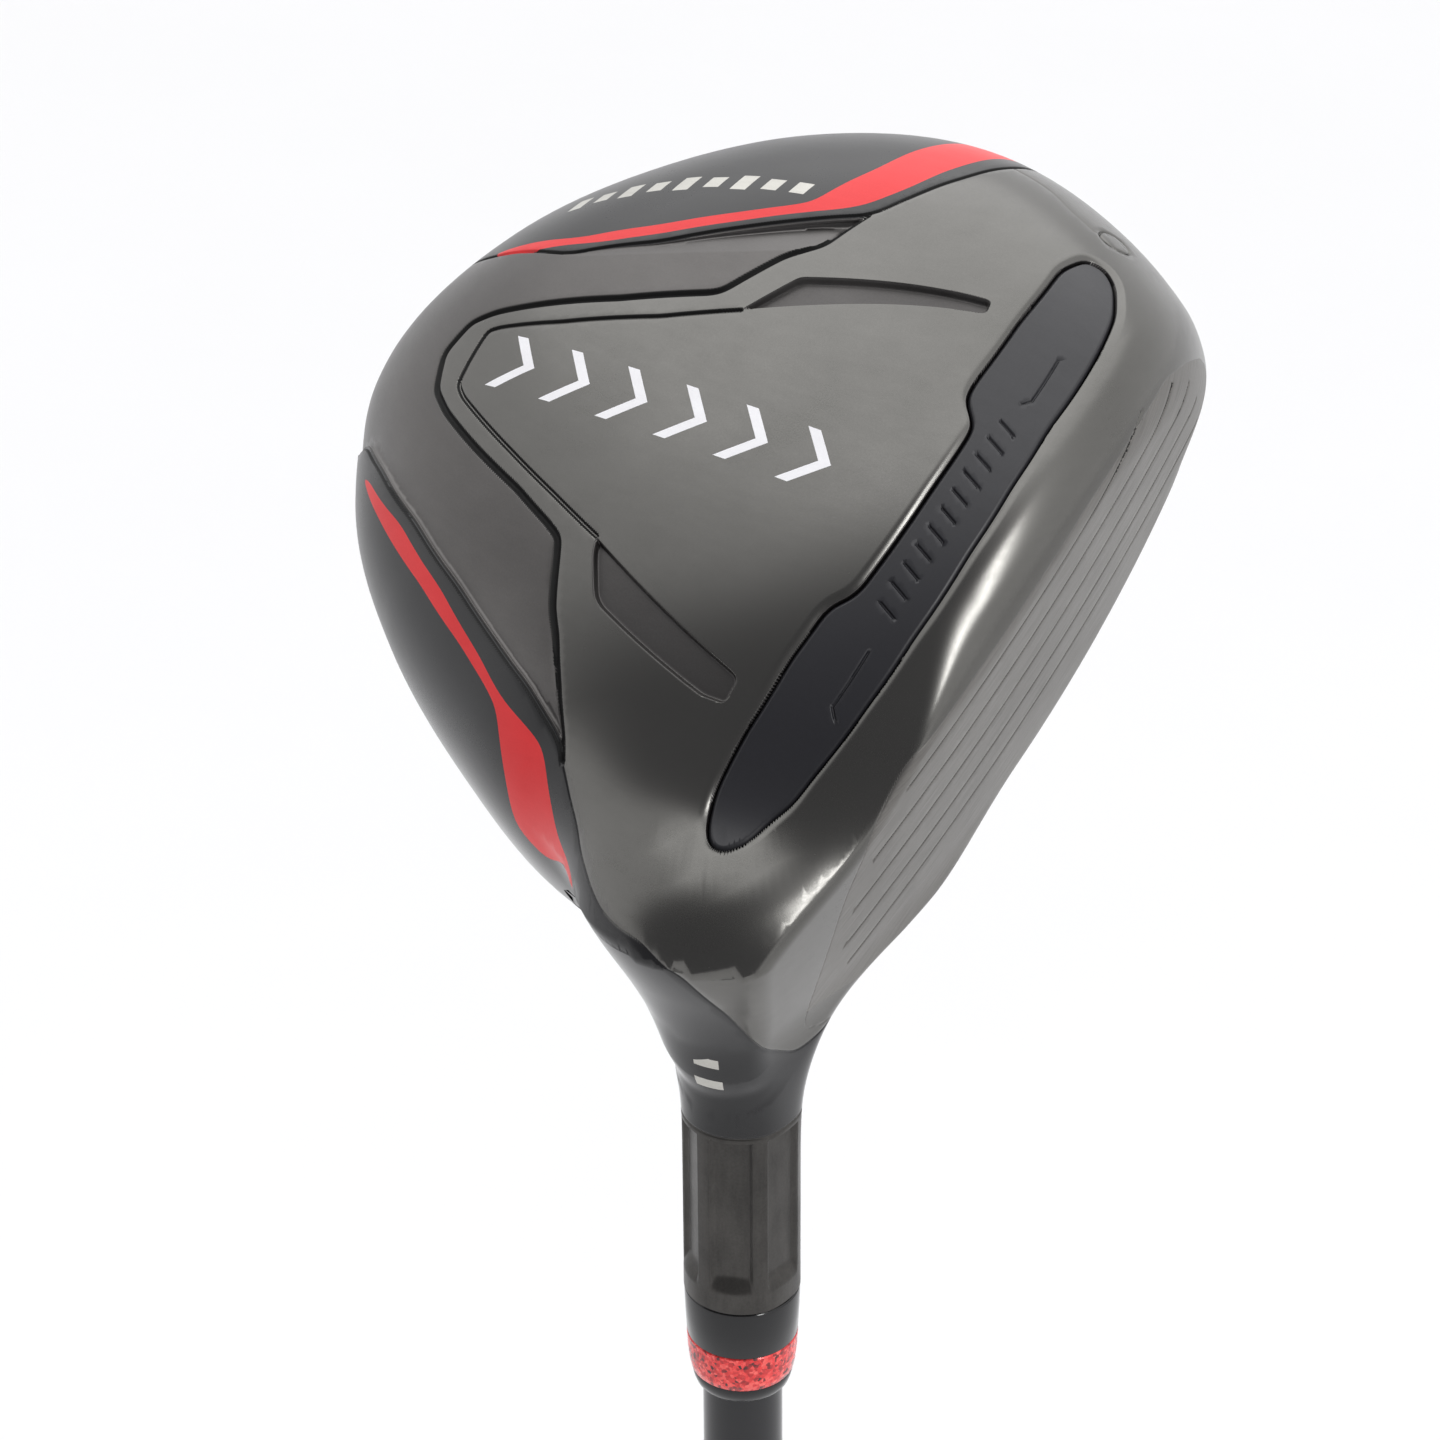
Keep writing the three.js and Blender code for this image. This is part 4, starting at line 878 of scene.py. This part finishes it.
def fillerDepth(p):  # sunk below the skin, rounded over at the rim, with ticks pressed in
    f = fillerLookShape
    s = pathDistance(p, paths["slot"], True, 3.0) * np.where(insideLoop(toChart(soleChart, p), slotLoop), 1, -1) - f["gap"]
    depth = f["sunk"] + f["roundDeep"] * np.clip(1 - s / f["round"], 0, 1.3) ** 2
    for t in tickPaths:
        depth = depth + f["tickDeep"] * (1 - easeStep(pathDistance(p, t, False, 1.0) / f["tickHalf"]))
    return depth


rowsIn = [fillerLookShape["gap"] + s for s in (0, 0.06, 0.14, 0.25, 0.38, 0.52)]
sample = alongPath(paths["slot"], True, [1.0])
way = 1 if insideLoop(toChart(soleChart, sample), slotLoop).mean() > 0.5 else -1
edge = alongPath(paths["slot"], True, [rowsIn[0] * way])
edgeLoop = toChart(soleChart, edge)
fillerLines = np.vstack([alongPath(paths["slot"], True, [s * way for s in rowsIn[1:]])]
                        + [alongPath(t, False, [0, 0.09, -0.09, 0.18, -0.18, 0.26, -0.26], 0.25) for t in tickPaths])
fillerGrid = hexGrid(60, 0.6)
fillerGrid = fillerGrid[insideLoop(fillerGrid, edgeLoop)]
at = castOut(soleChart, fillerGrid)
clear = pathDistance(at, paths["slot"], True, 3.0) > 0.95
for t in tickPaths:
    clear &= pathDistance(at, t, False, 1.0) > 0.45
fillerUv, fillerFaces = triangles(np.vstack([edgeLoop, toChart(soleChart, fillerLines), fillerGrid[clear]]))
fillerFaces = fillerFaces[insideLoop(fillerUv[fillerFaces].mean(1), edgeLoop)]
fillerAt, fillerNormal, fillerPlain = leaned(castOut(soleChart, fillerUv), fillerDepth)
fillerFaces = faceOut(fillerAt, fillerFaces, fillerPlain[fillerFaces[:, 0]])
edgeTop, _, edgePlain = leaned(castOut(soleChart, edgeLoop), fillerDepth)
outward = np.cross(np.roll(edgeTop, -1, 0) - np.roll(edgeTop, 1, 0), edgePlain)
outward *= -way / np.linalg.norm(outward, axis=-1, keepdims=True)
wallAt = np.vstack([edgeTop, edgeTop - edgePlain * fillerLookShape["wall"]])
wallFaces = gridFaces(2, len(edgeTop))
wallFaces = faceOut(wallAt, wallFaces, outward[wallFaces[:, 0] % len(edgeTop)])
allAt = np.vstack([fillerAt, wallAt])
makePiece("slotFiller", toPart(allAt), turnToPart(np.vstack([fillerNormal, outward, outward])),
          np.vstack([fillerFaces, wallFaces + len(fillerAt)]), [fillerRubber], None, allAt[:, :2] * 0.001, ("slot_filler",))

print("head: crown panel")
crownShape = dict(rings=64, spokes=420, lip=0.28)
edge = paths["crownEdge"]
middle = edge[:, :2].mean(0)
share = np.concatenate([np.linspace(0, 0.985, crownShape["rings"])[1:], [0.99, 0.994, 0.997, 1.0]])
plan = middle + share[:, None, None] * (edge[None, :, :2] - middle)
crownPlain = onCrown(np.vstack([middle[None], plan.reshape(-1, 2)]))
crownNormal = fieldNormal(crownPlain)
gapTo = np.concatenate([[9], ((1 - share)[:, None] * np.linalg.norm(edge[:, :2] - middle, axis=1)).ravel()])
sink = crownShape["lip"] * (1 - easeStep(gapTo / 0.35))
crownAt = crownPlain - crownNormal * sink[:, None]
crownFaces = gridFaces(len(share), crownShape["spokes"]) + 1
spokes = np.arange(crownShape["spokes"])
crownFaces = np.vstack([crownFaces, np.stack([spokes * 0, spokes + 1, (spokes + 1) % crownShape["spokes"] + 1], -1)])
crownFaces = faceOut(crownAt, crownFaces, crownNormal[crownFaces[:, 0]])
makePiece("crownPanel", toPart(crownAt), turnToPart(crownNormal), crownFaces, [crownCarbon], None, crownAt[:, :2] * 0.001,
          ("crown_panel",))

print("ferrule, shaft and grip")


def turnedPiece(name, profile, material, stands, sides=128, closed=False):  # a profile of (height, radius) carried round the shaft
    profile = np.asarray(profile, float)
    step = np.arange(sides)
    a = step * 2 * np.pi / sides
    z, r = profile[:, 0], profile[:, 1]
    p = np.stack([r[:, None] * np.cos(a), r[:, None] * np.sin(a), np.repeat(z[:, None], sides, 1)], -1).reshape(-1, 3) * 0.001
    f = gridFaces(len(profile), sides)
    if closed:  # joins the last row of the profile to the first
        after, last = (step + 1) % sides, (len(profile) - 1) * sides
        f = np.vstack([f, np.stack([step + last, after + last, step], -1), np.stack([after + last, after, step], -1)])
    run = np.concatenate([[0], np.cumsum(np.linalg.norm(np.diff(profile, axis=0), axis=1))]) * 0.001
    uv = np.stack([np.repeat(a[None], len(profile), 0).ravel() * r.mean() * 0.001, np.repeat(run, sides)], -1)
    piece = makePiece(name, p, None, f, [material], None, uv, stands)
    work = bmesh.new()
    work.from_mesh(piece.data)
    bmesh.ops.remove_doubles(work, verts=work.verts, dist=1e-7)
    bmesh.ops.recalc_face_normals(work, faces=work.faces)
    work.to_mesh(piece.data)
    work.free()
    return piece


end = headForm["clubLength"]
ferrule = dict(  # distance from the ground end of the axis, and radius
    collar=[(70.06, 5.0), (70.06, 6.0), (70.2, 6.16), (70.5, 6.2), (73, 6.12), (75.8, 5.98), (75.97, 5.92), (76, 5.8), (76, 5.0)],
    ring=[(76.03, 5.0), (76.03, 5.86), (76.15, 5.99), (78, 5.9), (79.6, 5.72), (80.5, 5.54), (80.6, 5.45), (80.6, 5.0)],
    cap=[(80.63, 4.5), (80.63, 5.42), (80.8, 5.46), (81.6, 5.3), (82.2, 5.08), (82.55, 4.8), (82.6, 4.5)],
)
collarRows, ringRows, ferruleCapRows = ([(end - along, r) for along, r in ferrule[k]] for k in ("collar", "ring", "cap"))
turnedPiece("ferruleCollar", collarRows, blackPlastic, ("ferrule_collar",), closed=True)
turnedPiece("ferruleRing", ringRows, redGlitter, ("ferrule_ring",), closed=True)
turnedPiece("ferruleCap", ferruleCapRows, blackPlastic, ("ferrule_cap",), closed=True)
tube = dict(tip=4.3, widens=3.3, straight=150, wideAt=60, top=36, butt=5.2, bore=3.4, buttBore=6.4, band=(250, 330), bandRise=0.06)
taperTop = end - tube["straight"]


def tubeRadius(z):  # straight near the head, then widening evenly to the grip
    return tube["tip"] + tube["widens"] * np.clip((taperTop - z) / (taperTop - tube["wideAt"]), 0, 1)


shaftHeights = np.concatenate([np.linspace(end - tube["top"], taperTop, 12), np.linspace(taperTop, tube["wideAt"], 40)[1:],
                               [40, 20, tube["butt"]]])
turnedPiece("shaftTube", [(shaftHeights[0], tube["bore"]), *zip(shaftHeights, tubeRadius(shaftHeights)), (tube["butt"], tube["buttBore"])],
            shaftPaint, ("shaft",), closed=True)
bandTop, bandLow = (end - depth for depth in tube["band"])
bandRows = [(z, tubeRadius(z) + tube["bandRise"]) for z in np.linspace(bandTop, bandLow, 10)]
turnedPiece("shaftBand", [(bandTop, tubeRadius(bandTop) + 0.01), *bandRows, (bandLow, tubeRadius(bandLow) + 0.01)],
            silverPaint, ("shaft_band",), closed=True)
grip = dict(mouth=268.0, mouthBore=7.4, mouthRadius=9.3, swells=4.1, length=263.8, rings=(244, 252), ringDeep=0.35, ringHalf=0.9)
gripRows = [(grip["mouth"], grip["mouthBore"])]
for z in np.linspace(grip["mouth"], 4.4, 120):
    r = grip["mouthRadius"] + grip["swells"] * ((grip["mouth"] - z) / grip["length"]) ** 0.8
    for ringAt in grip["rings"]:
        r -= grip["ringDeep"] * max(0, 1 - (abs(z - ringAt) / grip["ringHalf"]) ** 2)
    gripRows.append((z, r - (0.5 if z == grip["mouth"] else 0)))
gripRows += [(4.3, 12.9), (4.25, 8.2)]
turnedPiece("gripSleeve", gripRows, rubber, ("grip_sleeve",), closed=True)
capRows = [(4.2, 8.0), (4.2, 13.1), (4.0, 13.5), (3.2, 13.7), (1.6, 13.6), (0.6, 13.0), (0.1, 12.0), (0.0, 10.5), (0.25, 8.0), (0.4, 5.0),
           (0.5, 1.4), (0.9, 1.2), (4.2, 1.2)]
turnedPiece("gripCap", capRows, rubber, ("grip_cap",), closed=True)

for node, material in dict(crown_bond=epoxy, shaft_bond=epoxy, grip_tape=gripTapeFinish).items():
    for one in nodes[node].material_slots:
        one.material = material

# ---- floor, light and camera

print("floor, light and camera")
floorMesh = bpy.data.meshes.new("floor")
floorMesh.from_pydata([(-14, -14, 0), (14, -14, 0), (14, 14, 0), (-14, 14, 0)], [], [(0, 1, 2, 3)])
floorMesh.materials.append(plainFinish("paleFloor", floorLook))
floor = bpy.data.objects.new("floor", floorMesh)
bpy.context.scene.collection.objects.link(floor)

studio = dict(
    bright=(1.16, 1.16, 1.17), dim=(0.26, 0.26, 0.27), dimWay=(0.275, -0.88, 0.385), dimFrom=0.4, dimTo=0.6,
    sky=dict(way=(-0.3, 0.42, 0.86), strength=0.95, angle=70),
    strip=dict(way=(0.72, -0.1, 0.69), distance=1.6, size=(0.2, 0.9), power=9.0),
)
world = bpy.data.worlds.new("studio")
bpy.context.scene.world = world
world.use_nodes = True
bpy.context.scene.view_settings.view_transform = "Standard"


def worldShade(tree):  # a bright room with a dimmer side: the share is the way looked dotted with the dim way
    coords = addNode(tree, "ShaderNodeTexCoord")
    dot = addNode(tree, "ShaderNodeVectorMath", operation="DOT_PRODUCT")
    tree.links.new(coords.outputs["Generated"], dot.inputs[0])
    dot.inputs[1].default_value = studio["dimWay"]
    side = addNode(tree, "ShaderNodeMapRange", interpolation_type="SMOOTHSTEP")
    side.inputs[1].default_value, side.inputs[2].default_value = studio["dimFrom"], studio["dimTo"]
    tree.links.new(dot.outputs["Value"], side.inputs[0])
    mixed = addNode(tree, "ShaderNodeMix", data_type="RGBA")
    tree.links.new(side.outputs[0], mixed.inputs[0])
    mixed.inputs[6].default_value, mixed.inputs[7].default_value = (*studio["bright"], 1), (*studio["dim"], 1)
    tree.links.new(mixed.outputs[2], tree.nodes["Background"].inputs["Color"])


worldShade(world.node_tree)
headAt = Vector((-0.03, 0.03, 1.09))


def aimLamp(name, lamp, at):
    stand = bpy.data.objects.new(name, lamp)
    bpy.context.scene.collection.objects.link(stand)
    stand.location = at
    stand.rotation_mode = "QUATERNION"
    stand.rotation_quaternion = (headAt - Vector(at)).to_track_quat("-Z", "Y")


sky = bpy.data.lights.new("softSky", "SUN")
sky.energy, sky.angle = studio["sky"]["strength"], math.radians(studio["sky"]["angle"])
aimLamp("softSky", sky, headAt + Vector(studio["sky"]["way"]) * 3)
strip = bpy.data.lights.new("edgeStrip", "AREA")
strip.shape, strip.size, strip.size_y, strip.energy = "RECTANGLE", *studio["strip"]["size"], studio["strip"]["power"]
aimLamp("edgeStrip", strip, headAt + Vector(studio["strip"]["way"]) * studio["strip"]["distance"])

shot = dict(azimuth=38.34, elevation=29.57, roll=-0.46, lens=114.55, distance=0.4793, aim=(-0.0266, 0.02498, 1.11381),
            sideways=0.003734, upwards=-0.03201)
az, el, roll = (math.radians(shot[k]) for k in ("azimuth", "elevation", "roll"))
back = Vector((math.sin(az) * math.cos(el), -math.cos(az) * math.cos(el), math.sin(el)))
right = Vector((math.cos(az), math.sin(az), 0))
up = Vector((-math.sin(az) * math.sin(el), math.cos(az) * math.sin(el), math.cos(el)))
right, up = right * math.cos(roll) + up * math.sin(roll), up * math.cos(roll) - right * math.sin(roll)
camera = bpy.data.objects.new("camera", bpy.data.cameras.new("camera"))
bpy.context.scene.collection.objects.link(camera)
camera.data.lens, camera.data.sensor_width = shot["lens"], 36
camera.data.clip_start, camera.data.clip_end = 0.01, 60
stand = Vector(shot["aim"]) + back * shot["distance"] + right * shot["sideways"] + up * shot["upwards"]
camera.matrix_world = Matrix([[*row] for row in zip(right, up, back, stand)] + [[0, 0, 0, 1]])
bpy.context.scene.camera = camera
